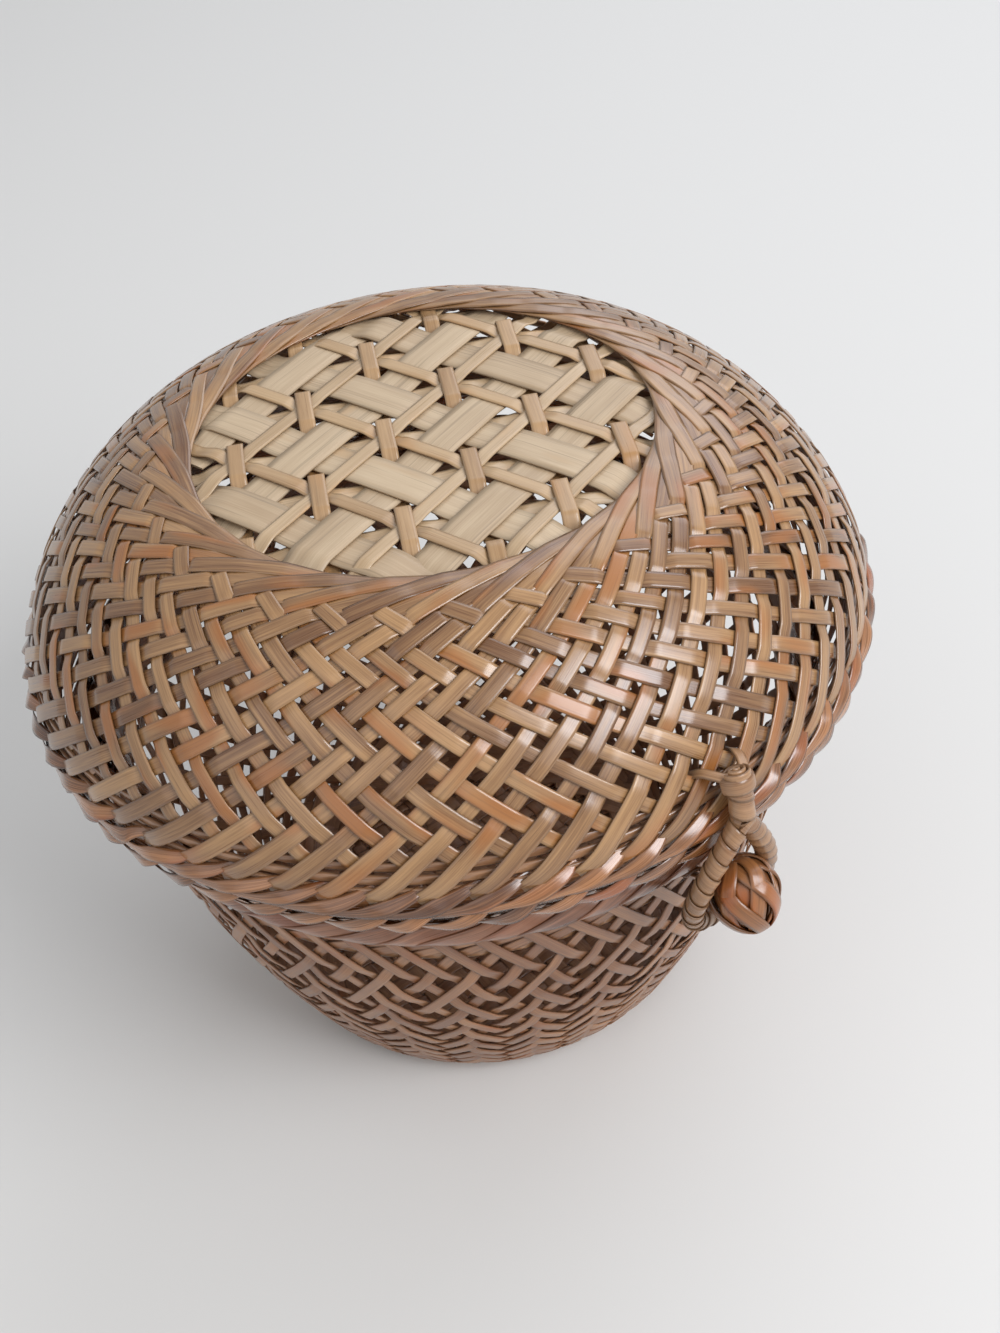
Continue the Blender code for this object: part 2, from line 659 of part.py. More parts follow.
def make_loop_bindings():
    """The strips wound round the loop's legs and round its neck, each turn a step over the next."""
    fine = [loop_point(math.tau * i / FINE_STEPS) for i in range(FINE_STEPS + 1)]
    clear = BINDING_OUTER + LOOP_CORE_RADIUS / 2
    bottom_half = PIVOT_Z - LOOP_DROP / 2
    bound = [p for p in fine if abs(p.x) > clear or p.z < bottom_half]
    travelled = [0.0]
    for p, q in zip(bound, bound[1:]):
        travelled.append(travelled[-1] + (q - p).length)
    turns = round(travelled[-1] / BINDING_TURN)
    turn = travelled[-1] / turns
    points = []
    radii = []
    for i in range(turns):
        ends = ((BINDING_EDGE, BINDING_OUTER - BINDING_STEP), (turn - BINDING_EDGE, BINDING_OUTER))
        for way, radius in ends:
            goal = i * turn + way
            k = min(range(len(travelled)), key=lambda n: abs(travelled[n] - goal))
            points.append(bound[k])
            radii.append(radius)
    sleeve("loop_binding", points, radii, BINDING_INNER, "binding_strip")

    neck_top = EYE_OUTER + 2 * GAP
    turn = (NECK_FOOT - neck_top) / NECK_TURNS
    points = []
    radii = []
    for i in range(NECK_TURNS):
        ends = ((BINDING_EDGE, BINDING_OUTER), (turn - BINDING_EDGE, BINDING_OUTER - BINDING_STEP))
        for way, radius in ends:
            drop = neck_top + i * turn + way
            points.append(front(0, *loop_middle(drop / LOOP_DROP)))
            radii.append(radius)
    sleeve(
        "loop_neck_binding", points, radii, BINDING_INNER, "binding_strip",
        side_stretch=NECK_HALF_WIDTH / BINDING_OUTER,
    )


def make_staple(lid_dome):
    """The staple through the lid's weave on which the loop turns."""
    half = STAPLE_WIDTH / 2
    outer = PIVOT_OUT
    inner = PIVOT_OUT - STAPLE_DEPTH
    bend = STAPLE_BEND
    path = []
    corners = ((half, outer, -1, -1), (half, inner, -1, 1), (-half, inner, 1, 1), (-half, outer, 1, -1))
    for i, (x, out, dx, dy) in enumerate(corners):
        first = (x, out + dy * bend)
        last = (x + dx * bend, out)
        pair = (last, first) if i % 2 == 0 else (first, last)
        path.extend(front(px, py, PIVOT_Z) for px, py in pair)
    rod("clasp_staple", path, STAPLE_RADIUS, "binding_strip", closed=True)
    hole = rod("clasp_staple_room", path, STAPLE_RADIUS + GAP, closed=True)
    combine(lid_dome, hole, "DIFFERENCE")


def bezier(points, count):
    """Evenly spaced shares of a cubic curve through two ends with two handles."""
    p0, p1, p2, p3 = (Vector(p) for p in points)
    found = []
    for i in range(count + 1):
        t = i / count
        u = 1 - t
        found.append(u**3 * p0 + 3 * u * u * t * p1 + 3 * u * t * t * p2 + t**3 * p3)
    return found


def make_knob(body_wall):
    """The braided knob, the stem that carries it and the knot that holds the stem inside the wall."""
    middle = Vector((KNOB_OUT, PIVOT_Z - KNOB_DROP))
    axis = Vector((math.cos(KNOB_TILT), -math.sin(KNOB_TILT)))
    around = KNOB_CORNERS
    bm = bmesh.new()
    turn = Matrix.Rotation(math.pi / 2 + KNOB_TILT, 4, "X")
    loops = []
    for i in range(1, KNOB_RINGS):
        slope = math.pi * i / KNOB_RINGS
        height = KNOB_HALF_LENGTH * math.cos(slope)
        loop = []
        for k in range(around):
            angle = math.tau * k / around
            lobe = 0.5 - 0.5 * math.cos(KNOB_LOBES * angle + KNOB_TWIST * slope)
            radius = (KNOB_RADIUS - KNOB_LOBE_DEPTH * lobe) * math.sin(slope)
            loop.append(bm.verts.new((radius * math.cos(angle), radius * math.sin(angle), height)))
        loops.append(loop)
    for first, second in zip(loops, loops[1:]):
        for k in range(around):
            j = (k + 1) % around
            bm.faces.new((first[k], first[j], second[j], second[k]))
    for loop, height in ((loops[0], KNOB_HALF_LENGTH), (loops[-1], -KNOB_HALF_LENGTH)):
        pole = bm.verts.new((0, 0, height))
        for k in range(around):
            bm.faces.new((loop[k], loop[(k + 1) % around], pole))
    bmesh.ops.transform(bm, matrix=turn, verts=bm.verts)
    bmesh.ops.translate(bm, vec=front(0, *middle), verts=bm.verts)
    knob = place(bm, "clasp_knob", "knob_braid")

    root_z = BODY_ROPE_Z - STEM_ROOT_DROP
    around_stem = STEM_RADIUS + GAP + KNOT_RADIUS
    knot_foot = root_z - around_stem - KNOT_RADIUS
    root_out = body_radius(knot_foot) - WALL - GAP - 2 * KNOT_RADIUS
    tip = middle - axis * STEM_REACH
    neck = middle - axis * KNOB_HALF_LENGTH
    handles = (
        (root_out, root_z),
        (neck.x, root_z - STEM_RADIUS),
        (BORDER_OUT, neck.y + STEM_RADIUS),
        tuple(tip),
    )
    path = [front(0, *p) for p in bezier(handles, STEM_STEPS)]
    rod("clasp_knob_stem", path, STEM_RADIUS, "knob_braid")
    room = rod("knob_stem_room", path, STEM_RADIUS + GAP)
    combine(knob, room, "DIFFERENCE")
    wall_end = [front(0, root_out - WALL, root_z)] + path
    hole = rod("wall_stem_room", wall_end[: STEM_STEPS // 2], STEM_RADIUS + GAP)
    combine(body_wall, hole, "DIFFERENCE")
    knot_out = root_out + KNOT_RADIUS - GAP
    knot_path = [
        front(around_stem * math.cos(a), knot_out, root_z + around_stem * math.sin(a))
        for a in (math.tau * i / KNOT_STEPS for i in range(KNOT_STEPS))
    ]
    rod("clasp_stem_knot", knot_path, KNOT_RADIUS, "knob_braid", closed=True, corners=TIE_CORNERS)


def main():
    """Builds the whole basket."""
    clear_scene()
    body_parts = make_body()
    lid_parts = make_lid()
    make_panel()
    make_hinge(body_parts, lid_parts)
    make_staple(lid_parts[0])
    make_loop()
    make_loop_bindings()
    make_knob(body_parts[0])


main()
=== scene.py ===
"""Looks of the lidded bamboo basket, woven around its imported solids.

Sizes are in millimetres and angles in degrees, until a mesh is made in metres. An azimuth is counted round +Z
from +X, so it grows to the right as the basket is seen from outside. The clasp is at -90, the hinge at +90.
"""

import logging
import math
from dataclasses import dataclass
from enum import Enum
from functools import cache
from typing import Any, Callable, Optional, Sequence

import bpy
import numpy as np
from mathutils import Matrix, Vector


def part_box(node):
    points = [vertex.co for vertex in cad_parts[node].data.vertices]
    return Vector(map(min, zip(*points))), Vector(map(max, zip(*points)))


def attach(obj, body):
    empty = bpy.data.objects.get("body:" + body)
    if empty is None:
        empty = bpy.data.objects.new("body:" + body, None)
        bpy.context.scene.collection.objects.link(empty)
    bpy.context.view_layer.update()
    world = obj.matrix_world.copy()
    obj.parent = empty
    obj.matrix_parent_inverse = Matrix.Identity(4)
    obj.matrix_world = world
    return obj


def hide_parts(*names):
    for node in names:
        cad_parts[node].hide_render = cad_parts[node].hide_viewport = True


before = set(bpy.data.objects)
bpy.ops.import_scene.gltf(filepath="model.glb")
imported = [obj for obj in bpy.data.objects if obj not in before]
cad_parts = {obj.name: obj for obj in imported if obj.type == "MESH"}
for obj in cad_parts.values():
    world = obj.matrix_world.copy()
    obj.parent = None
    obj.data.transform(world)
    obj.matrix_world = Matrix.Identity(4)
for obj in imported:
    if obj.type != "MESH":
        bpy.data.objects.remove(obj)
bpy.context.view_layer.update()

MM = 0.001
PHOTO_TURN = 1.5  # turn of the photograph's camera about the axis, and azimuth of the first strips
UPWARD = (0.0, 0.0, 1.0)
Colour = tuple[float, float, float, float]
Display = tuple[float, float, float]
LOG = logging.getLogger("basket")


def srgb(red: float, green: float, blue: float) -> Colour:
    """Turn a display colour of 0 to 255 into a linear one.

    Args:
        red: Display red.
        green: Display green.
        blue: Display blue.

    Returns:
        The linear colour with full alpha.
    """
    parts = []
    for value in (red, green, blue):
        share = value / 255
        parts.append(share / 12.92 if share <= 0.04045 else ((share + 0.055) / 1.055) ** 2.4)
    return (parts[0], parts[1], parts[2], 1.0)


class Num:
    """A number socket that takes part in Python arithmetic by adding Math nodes."""

    def __init__(self, maker: "NodeMaker", socket: bpy.types.NodeSocket) -> None:
        """Wrap a socket of the maker's tree."""
        self.maker = maker
        self.socket = socket

    def _math(self, operation: str, *values: Any) -> "Num":
        """Add one Math node and return its result."""
        node = self.maker.add("ShaderNodeMath", dict(enumerate(values)), operation=operation)
        return Num(self.maker, node.outputs[0])

    def __add__(self, other: Any) -> "Num":
        """Sum."""
        return self._math("ADD", self, other)

    __radd__ = __add__

    def __sub__(self, other: Any) -> "Num":
        """Difference."""
        return self._math("SUBTRACT", self, other)

    def __rsub__(self, other: Any) -> "Num":
        """Difference, the other way round."""
        return self._math("SUBTRACT", other, self)

    def __mul__(self, other: Any) -> "Num":
        """Product."""
        return self._math("MULTIPLY", self, other)

    __rmul__ = __mul__

    def __truediv__(self, other: Any) -> "Num":
        """Quotient."""
        return self._math("DIVIDE", self, other)

    def __pow__(self, other: Any) -> "Num":
        """Power."""
        return self._math("POWER", self, other)

    def size(self) -> "Num":
        """Absolute value."""
        return self._math("ABSOLUTE", self)

    def sign(self) -> "Num":
        """Sign, -1 to 1."""
        return self._math("SIGN", self)

    def step(self, low: float, high: float) -> "Num":
        """Smooth step from 0 at low to 1 at high."""
        inputs = {"Value": self, "From Min": low, "From Max": high}
        node = self.maker.add("ShaderNodeMapRange", inputs, interpolation_type="SMOOTHSTEP")
        return Num(self.maker, node.outputs[0])


class NodeMaker:
    """Adds nodes to a shader or geometry tree from their inputs and settings."""

    def __init__(self, tree: bpy.types.NodeTree) -> None:
        """Keep the tree that the nodes go into."""
        self.tree = tree

    def add(self, kind: str, inputs: Optional[dict[Any, Any]] = None, **settings: Any) -> bpy.types.Node:
        """Add a node, set its properties first and then its sockets.

        Args:
            kind: The node's type name.
            inputs: Values, sockets or Num by the socket's name or number.
            settings: Properties of the node.

        Returns:
            The new node.
        """
        node = self.tree.nodes.new(kind)
        for name, value in settings.items():
            setattr(node, name, value)
        for key, value in (inputs or {}).items():
            given = value.socket if isinstance(value, Num) else value
            if isinstance(given, bpy.types.NodeSocket):
                self.tree.links.new(given, node.inputs[key])
            else:
                node.inputs[key].default_value = given
        return node

    def mix(self, share: Any, first: Any, second: Any) -> bpy.types.NodeSocket:
        """Blend two colours: a share of 0 gives the first, 1 the second."""
        return self.add("ShaderNodeMix", {0: share, 6: first, 7: second}, data_type="RGBA").outputs[2]

    def vector(self, x: Any, y: Any, z: Any) -> bpy.types.NodeSocket:
        """Join three numbers into a vector."""
        return self.add("ShaderNodeCombineXYZ", {0: x, 1: y, 2: z}).outputs[0]

    def store(self, geometry: bpy.types.NodeSocket, name: str, value: Num) -> bpy.types.NodeSocket:
        """Keep a number on a geometry's points under a name."""
        settings = {"data_type": "FLOAT", "domain": "POINT"}
        inputs = {"Geometry": geometry, "Name": name, "Value": value}
        return self.add("GeometryNodeStoreNamedAttribute", inputs, **settings).outputs[0]


class Slot(Enum):
    """The record's material slots."""

    DOME = "dome_strip"
    BODY = "body_strip"
    ROPE = "rope_strand"
    WIDE = "wide_strip"
    NARROW = "narrow_strip"
    HOOP = "hoop_cane"
    BINDING = "binding_strip"
    KNOB = "knob_braid"
    CORE = "rattan_core"


class Body(Enum):
    """The bodies that pieces move with."""

    BASKET = "basket"
    LID = "lid"
    LOOP = "clasp_loop"


@dataclass(frozen=True)
class SplitCane:
    """Finish of split bamboo or rattan, with fibres that run along each strip.

    Attributes:
        name: The material's name.
        light: Display colour of the pale fibres.
        dark: Display colour of the dark fibres.
        patch: Display colour of the sun-browned patches.
        patch_share: How much of the strips the patches take, 0 to 1.
        half_width: Half of the strips' width.
        fibre: Width of one fibre.
        contrast: How strongly single strips differ.
        edge: How much darker the two edges are, 0 to 1: partly the cane's own darker edges, partly painted
            shade for the dark gaps between strips.
        cracks: How dark the splits along the fibres are, 0 to 1.
        roughness: Roughness of the polished skin.
        coat: Weight of the thin gloss on top.
        relief: Depth of the fibres.
    """

    name: str
    light: Display
    dark: Display
    patch: Display
    patch_share: float = 0.25
    half_width: float = 2.0
    fibre: float = 0.35
    contrast: float = 0.4
    edge: float = 0.22
    cracks: float = 0.16
    roughness: float = 0.33
    coat: float = 0.7
    relief: float = 0.05

    @cache
    def material(self) -> bpy.types.Material:
        """Build the material once, reading the strips' along, across and tone attributes.

        Returns:
            The material.
        """
        made = bpy.data.materials.new(self.name)
        made.use_nodes = True
        made.node_tree.nodes.clear()
        maker = NodeMaker(made.node_tree)
        along, across, tone = (
            Num(maker, maker.add("ShaderNodeAttribute", attribute_name=name).outputs["Fac"])
            for name in ("along", "across", "tone")
        )
        side = across * self.half_width

        def grain(length: float, breadth: float, spread: float, detail: float, rough: float = 0.5) -> Num:
            """Noise in cells of a length and breadth, another on each strip."""
            place = maker.vector(along / length, side / breadth, tone * spread)
            inputs = {"Vector": place, "Scale": 1.0, "Detail": detail, "Roughness": rough}
            return Num(maker, maker.add("ShaderNodeTexNoise", inputs).outputs[0])

        fibres = grain(16, self.fibre, 57, 3.0, 0.6)
        bands = grain(42, 3.1, 83, 2.0)
        stains = grain(26, 7.0, 131, 1.0)
        splits = grain(55, 0.55, 211, 0.0)
        lightness = (fibres - 0.5) + (bands - 0.5) * 0.9 + (tone - 0.5) * self.contrast + 0.5
        colour = maker.mix(lightness.step(0.0, 1.0), srgb(*self.dark), srgb(*self.light))
        limit = 0.68 - 0.4 * self.patch_share
        browned = (stains + (tone - 0.5) * 0.12).step(limit, limit + 0.2)
        colour = maker.mix(browned * 0.8, colour, srgb(*self.patch))
        shade = srgb(*(0.6 * value for value in self.dark))
        colour = maker.mix(splits.step(0.66, 0.74) * self.cracks, colour, shade)
        # Darken both edges with the shade colour: partly the cane's own edge colour, partly painted shade
        # that stands in for the dark gaps between strips.
        colour = maker.mix(across.size().step(0.62, 1.02) * self.edge, colour, shade)
        height = fibres * 0.7 + bands * 0.3
        bump = maker.add("ShaderNodeBump", {"Strength": 0.7, "Distance": self.relief * MM, "Height": height})
        skin = maker.add("ShaderNodeBsdfPrincipled", {
            "Base Color": colour,
            "Roughness": (fibres - 0.5) * 0.3 + (bands - 0.5) * 0.2 + self.roughness,
            "Normal": bump.outputs[0],
            "Coat Weight": self.coat,
            "Coat Roughness": 0.24,
            "Specular IOR Level": 0.5,
        })
        maker.add("ShaderNodeOutputMaterial", {"Surface": skin.outputs[0]})
        return made


DOME_CANE = SplitCane("dome_cane", (174, 134, 90), (100, 64, 36), (154, 94, 40), 0.42)
# Its strong edge darkening is partly painted shade for the dark gaps between the border's strands.
BORDER_CANE = SplitCane(
    "border_cane", (173, 118, 73), (74, 40, 19), (148, 78, 31), 0.4, 2.0, roughness=0.26, coat=0.95, edge=0.5
)
BODY_CANE = SplitCane(
    "body_cane", (166, 121, 86), (110, 69, 43), (140, 82, 42), 0.3, 1.9, roughness=0.42, coat=0.3
)
RIM_CANE = SplitCane("rim_cane", (158, 108, 78), (86, 50, 32), (124, 68, 40), 0.3, 2.4)
WIDE_STRAW = SplitCane(
    "wide_straw", (193, 171, 141), (166, 141, 111), (180, 149, 112), 0.12, 6.1,
    contrast=0.3, edge=0.1, cracks=0.3, roughness=0.5, coat=0.1,
)
PALE_CANE = SplitCane(
    "pale_cane", (198, 172, 138), (170, 142, 108), (188, 148, 104), 0.25, 2.2, edge=0.1, coat=0.2
)
NARROW_CANE = SplitCane(
    "narrow_cane", (184, 154, 116), (152, 120, 86), (172, 130, 84), 0.25, 2.2, edge=0.12, coat=0.2
)
STAR_CANE = SplitCane(
    "star_cane", (184, 150, 110), (148, 114, 78), (172, 126, 78), 0.35, 2.3, edge=0.15, coat=0.25
)
HOOP_CANE = SplitCane("hoop_cane", (176, 132, 96), (118, 80, 52), (144, 94, 54), 0.2, 1.5)
BINDING_STRIP = SplitCane(
    "binding_strip", (174, 134, 97), (110, 74, 46), (138, 92, 56), 0.25, 2.5, fibre=0.28, edge=0.55, coat=0.3
)
KNOB_BRAID = SplitCane(
    "knob_braid", (158, 104, 60), (92, 54, 28), (158, 84, 34), 0.45, 2.4, edge=0.4, coat=0.5
)
RATTAN_CORE = SplitCane("rattan_core", (170, 130, 98), (106, 72, 48), (134, 90, 58), 0.2, 1.5)


@dataclass
class Strip:
    """Middle line of one strip.

    Attributes:
        points: Places in millimetres, one row each.
        faces: The way that the strip's outer face looks at each place.
        widths: Share of the full width at each place.
        tone: The strip's own shade, 0 to 1.
    """

    points: np.ndarray
    faces: np.ndarray
    widths: np.ndarray
    tone: float

    @classmethod
    def even(cls, points: np.ndarray, faces: Any, tone: float, width: float = 1.0) -> "Strip":
        """Make a strip of one width, whose faces may all look one way."""
        looks = np.broadcast_to(np.asarray(faces, float), points.shape)
        return cls(points, looks, np.full(len(points), width), tone)


@dataclass(frozen=True)
class Kind:
    """A kind of strip, as it lies in one sub-assembly. A squareness of 0 gives an oval, towards 1 a box."""

    finish: SplitCane
    slot: Slot
    width: float
    thickness: float
    squareness: float = 0.75


class StripWeaver:
    """Turns strips' middle lines into crowned, closed strips with one Geometry Nodes tree."""

    PROFILE_POINTS = 8

    def __init__(self) -> None:
        """Build the tree once for every weave."""
        self.tree = bpy.data.node_groups.new("strip_weave", "GeometryNodeTree")
        self.inputs: dict[str, str] = {}
        interface = self.tree.interface
        interface.new_socket("Geometry", in_out="INPUT", socket_type="NodeSocketGeometry")
        for name in ("Width", "Thickness", "Squareness", "Finish"):
            kind = "NodeSocketMaterial" if name == "Finish" else "NodeSocketFloat"
            self.inputs[name] = interface.new_socket(name, in_out="INPUT", socket_type=kind).identifier
        interface.new_socket("Geometry", in_out="OUTPUT", socket_type="NodeSocketGeometry")
        self._fill(NodeMaker(self.tree))

    def _fill(self, maker: NodeMaker) -> None:
        """Add the tree's nodes, which sweep a cross-section along every line.

        Args:
            maker: Adds nodes to the tree.
        """
        given = maker.add("NodeGroupInput").outputs
        line = maker.add("GeometryNodeMeshToCurve", {"Mesh": given["Geometry"]}).outputs[0]
        face, width = (
            maker.add("GeometryNodeInputNamedAttribute", {"Name": name}, data_type=kind).outputs[0]
            for name, kind in (("face", "FLOAT_VECTOR"), ("width", "FLOAT"))
        )
        turned = maker.add("GeometryNodeSetCurveNormal", {"Curve": line, "Normal": face}, mode="FREE")
        travelled = Num(maker, maker.add("GeometryNodeSplineParameter").outputs["Length"])
        swept = maker.add("GeometryNodeCurveToMesh", {
            "Curve": maker.store(turned.outputs[0], "along", travelled / MM),
            "Profile Curve": self._profile(maker, given),
            "Scale": width,
            "Fill Caps": True,
        })
        smoothed = maker.add("GeometryNodeSetShadeSmooth", {"Geometry": swept.outputs[0]})
        real = maker.add("GeometryNodeRealizeInstances", {"Geometry": smoothed.outputs[0]})
        inputs = {"Geometry": real.outputs[0], "Material": given["Finish"]}
        maker.add("NodeGroupOutput", {0: maker.add("GeometryNodeSetMaterial", inputs).outputs[0]})

    def _profile(self, maker: NodeMaker, given: Any) -> bpy.types.NodeSocket:
        """Draw the cross-section between an ellipse and a box: its X is the thickness, its Y the width.

        Args:
            maker: Adds nodes to the tree.
            given: The tree's input sockets by name.

        Returns:
            The closed curve's socket.
        """
        inputs = {"Resolution": self.PROFILE_POINTS, "Radius": 1.0}
        circle = maker.add("GeometryNodeCurvePrimitiveCircle", inputs, mode="RADIUS")
        turn = (0.0, 0.0, math.pi / self.PROFILE_POINTS)
        circle = maker.add("GeometryNodeTransform", {"Geometry": circle.outputs[0], "Rotation": turn})
        place = maker.add("GeometryNodeInputPosition").outputs[0]
        parts = maker.add("ShaderNodeSeparateXYZ", {0: place}).outputs
        width, thickness, squareness = (
            Num(maker, given[name]) for name in ("Width", "Thickness", "Squareness")
        )
        rise, side = (Num(maker, parts[axis]) for axis in (0, 1))
        rise = rise.sign() * rise.size() ** (1 - squareness)
        side = side.sign() * side.size() ** (1 - squareness * 0.67)
        marked = maker.store(circle.outputs[0], "across", side)
        corner = maker.vector(rise * thickness * 0.5, side * width * 0.5, 0.0)
        return maker.add("GeometryNodeSetPosition", {"Geometry": marked, "Position": corner}).outputs[0]

    @staticmethod
    def _lines(name: str, strips: Sequence[Strip]) -> bpy.types.Mesh:
        """Draw the middle lines as edges, with the attributes that the tree reads.

        Args:
            name: The mesh's name.
            strips: Middle lines.

        Returns:
            The mesh of edges.
        """
        mesh = bpy.data.meshes.new(name)
        counts = [len(strip.points) for strip in strips]
        starts = np.cumsum([0] + counts[:-1])
        first = np.concatenate([start + np.arange(count - 1) for start, count in zip(starts, counts)])
        mesh.vertices.add(sum(counts))
        mesh.edges.add(len(first))
        places = np.concatenate([strip.points for strip in strips]) * MM
        mesh.vertices.foreach_set("co", places.astype(np.float32).ravel())
        mesh.edges.foreach_set("vertices", np.stack([first, first + 1], axis=1).astype(np.int32).ravel())
        for label, kind, values in (
            ("face", "FLOAT_VECTOR", np.concatenate([strip.faces for strip in strips])),
            ("width", "FLOAT", np.concatenate([strip.widths for strip in strips])),
            ("tone", "FLOAT", np.repeat([strip.tone for strip in strips], counts)),
        ):
            rows = mesh.attributes.new(label, kind, "POINT").data
            key = "vector" if label == "face" else "value"
            rows.foreach_set(key, values.astype(np.float32).ravel())
        mesh.update()
        return mesh

    def weave(self, name: str, strips: Sequence[Strip], kind: Kind, body: Body, *nodes: str) -> None:
        """Make one piece from many strips, as a plain mesh, and dress it.

        Args:
            name: The piece's name.
            strips: Middle lines.
            kind: The strips' kind.
            body: The body that the piece moves with.
            nodes: Solids that the piece replaces.
        """
        lines = self._lines(name, strips)
        piece = bpy.data.objects.new(name, lines)
        bpy.context.scene.collection.objects.link(piece)
        modifier = piece.modifiers.new("weave", "NODES")
        modifier.node_group = self.tree
        modifier[self.inputs["Width"]] = kind.width * MM
        modifier[self.inputs["Thickness"]] = kind.thickness * MM
        modifier[self.inputs["Squareness"]] = kind.squareness
        modifier[self.inputs["Finish"]] = kind.finish.material()
        evaluated = piece.evaluated_get(bpy.context.evaluated_depsgraph_get())
        plain = bpy.data.meshes.new_from_object(evaluated)
        piece.modifiers.clear()
        piece.data = plain
        plain.name = name
        bpy.data.meshes.remove(lines)
        dress(piece, body, nodes)


def dress(piece: bpy.types.Object, body: Body, nodes: Sequence[str]) -> None:
    """Tell the frame what a piece rides on and the solids that it stands for.

    Args:
        piece: The finished piece.
        body: The body that it moves with.
        nodes: Solids that it replaces.
    """
    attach(piece, body.value)
    if nodes:
        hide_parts(*nodes)
    triangles = sum(len(face.vertices) - 2 for face in piece.data.polygons)
    LOG.info("%s: %d triangles on %s", piece.name, triangles, body.value)


def box(node: str) -> tuple[np.ndarray, np.ndarray]:
    """Lowest and highest corner of a solid's box, in millimetres."""
    low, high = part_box(node)
    return np.array(low) / MM, np.array(high) / MM


def unit(vectors: np.ndarray) -> np.ndarray:
    """Scale vectors to length 1."""
    return vectors / np.maximum(np.linalg.norm(vectors, axis=-1, keepdims=True), 1e-9)


def headings(points: np.ndarray) -> np.ndarray:
    """Unit directions along a line of points."""
    return unit(np.gradient(points, axis=0))


def ring(angle: np.ndarray, radius: Any = 1.0, height: Any = 0.0) -> np.ndarray:
    """Points round +Z at angles in radians."""
    return np.stack([radius * np.cos(angle), radius * np.sin(angle), height + 0 * angle], axis=-1)


def ramp(values: Any, start: float, end: float) -> np.ndarray:
    """Share of the way from start to end, 0 before it and 1 after it."""
    return np.clip((values - start) / (end - start), 0, 1)


def smooth(values: Any, start: float, end: float) -> np.ndarray:
    """Share of the way from start to end, which sets off and arrives level."""
    share = ramp(values, start, end)
    return share * share * (3 - 2 * share)


def stepped(places: np.ndarray, rows: np.ndarray, levels: np.ndarray, flat: float = 0.22) -> np.ndarray:
    """Height of a strip that goes over and under others.

    Args:
        places: Where the height is wanted.
        rows: Places of the crossings, growing.
        levels: Height at each crossing.
        flat: Share of the way between two crossings that stays level at either end.

    Returns:
        A height for each place.
    """
    last = np.clip(np.searchsorted(rows, places) - 1, 0, len(rows) - 2)
    share = smooth((places - rows[last]) / (rows[last + 1] - rows[last]), flat, 1 - flat)
    return levels[last] + (levels[last + 1] - levels[last]) * share


def through(knots: Sequence[Sequence[float]], count: int) -> np.ndarray:
    """Smooth curve through a few knots, which passes each one along the line between its neighbours.

    Args:
        knots: Rows of any number of values.
        count: How many rows the result has.

    Returns:
        The curve's rows, evenly spread over the knots.
    """
    table = np.array(knots, float)
    padded = np.vstack([2 * table[0] - table[1], table, 2 * table[-1] - table[-2]])
    share = np.linspace(0, len(table) - 1, count)
    k = np.clip(share.astype(int), 0, len(table) - 2)
    t = (share - k)[:, None]
    p0, p1, p2, p3 = (padded[k + i] for i in range(4))
    return 0.5 * (
        2 * p1 + (p2 - p0) * t + (2 * p0 - 5 * p1 + 4 * p2 - p3) * t**2 + (3 * p1 - p0 - 3 * p2 + p3) * t**3
    )


def bent(corners: Sequence[Any], shares: Any) -> np.ndarray:
    """Curve from the first corner to the last, which the corners between pull towards them.

    Args:
        corners: Two or more points.
        shares: Shares of the way along the curve, 0 to 1.

    Returns:
        A point for each share.
    """
    share = np.asarray(shares, float)[..., None]
    points = [np.asarray(corner, float) for corner in corners]
    while len(points) > 1:
        points = [(1 - share) * near + share * far for near, far in zip(points, points[1:])]
    return points[0]


class Turned:
    """A turned surface, addressed by the distance down its outline and by azimuth."""

    def __init__(self, outline: np.ndarray, start: float = 0.0) -> None:
        """Measure an outline.

        Args:
            outline: Radii and heights, from the top down.
            start: The distance given to the first point.
        """
        runs = np.hypot(*np.diff(outline, axis=0).T)
        self.way = start + np.concatenate([[0.0], np.cumsum(runs)])
        self.radii, self.heights = outline.T
        slope = np.gradient(outline, self.way, axis=0)
        outward = np.stack([-slope[:, 1], slope[:, 0]], axis=1)
        kernel = np.array([0.25, 0.5, 0.25])
        for axis in (0, 1):
            outward[1:-1, axis] = np.convolve(outward[:, axis], kernel, "valid")
        self.outward = unit(outward)

    def place(self, way: Any, azimuth: Any, depth: Any = 0.0) -> tuple[np.ndarray, np.ndarray]:
        """Points on the surface or under it.

        Args:
            way: Distances down the outline.
            azimuth: Azimuths in degrees.
            depth: How far inside the surface the points lie.

        Returns:
            The points and the surface's outward directions there.
        """
        way, azimuth, depth = np.broadcast_arrays(*(np.asarray(v, float) for v in (way, azimuth, depth)))
        out = unit(np.stack([np.interp(way, self.way, self.outward[:, axis]) for axis in (0, 1)], axis=-1))
        radius = np.interp(way, self.way, self.radii) - depth * out[..., 0]
        height = np.interp(way, self.way, self.heights) - depth * out[..., 1]
        turn = np.radians(azimuth)
        return ring(turn, radius, height), ring(turn, out[..., 0], out[..., 1])


def roll(points: np.ndarray, faces: np.ndarray, tilt: Any) -> np.ndarray:
    """Turn faces about the line of points.

    Args:
        points: The line.
        faces: Its faces' directions.
        tilt: Angles in degrees, positive towards the line's left.

    Returns:
        The turned directions.
    """
    side = np.cross(faces, headings(points))
    angle = np.radians(np.broadcast_to(tilt, len(points)))[:, None]
    return unit(faces * np.cos(angle) + side * np.sin(angle))


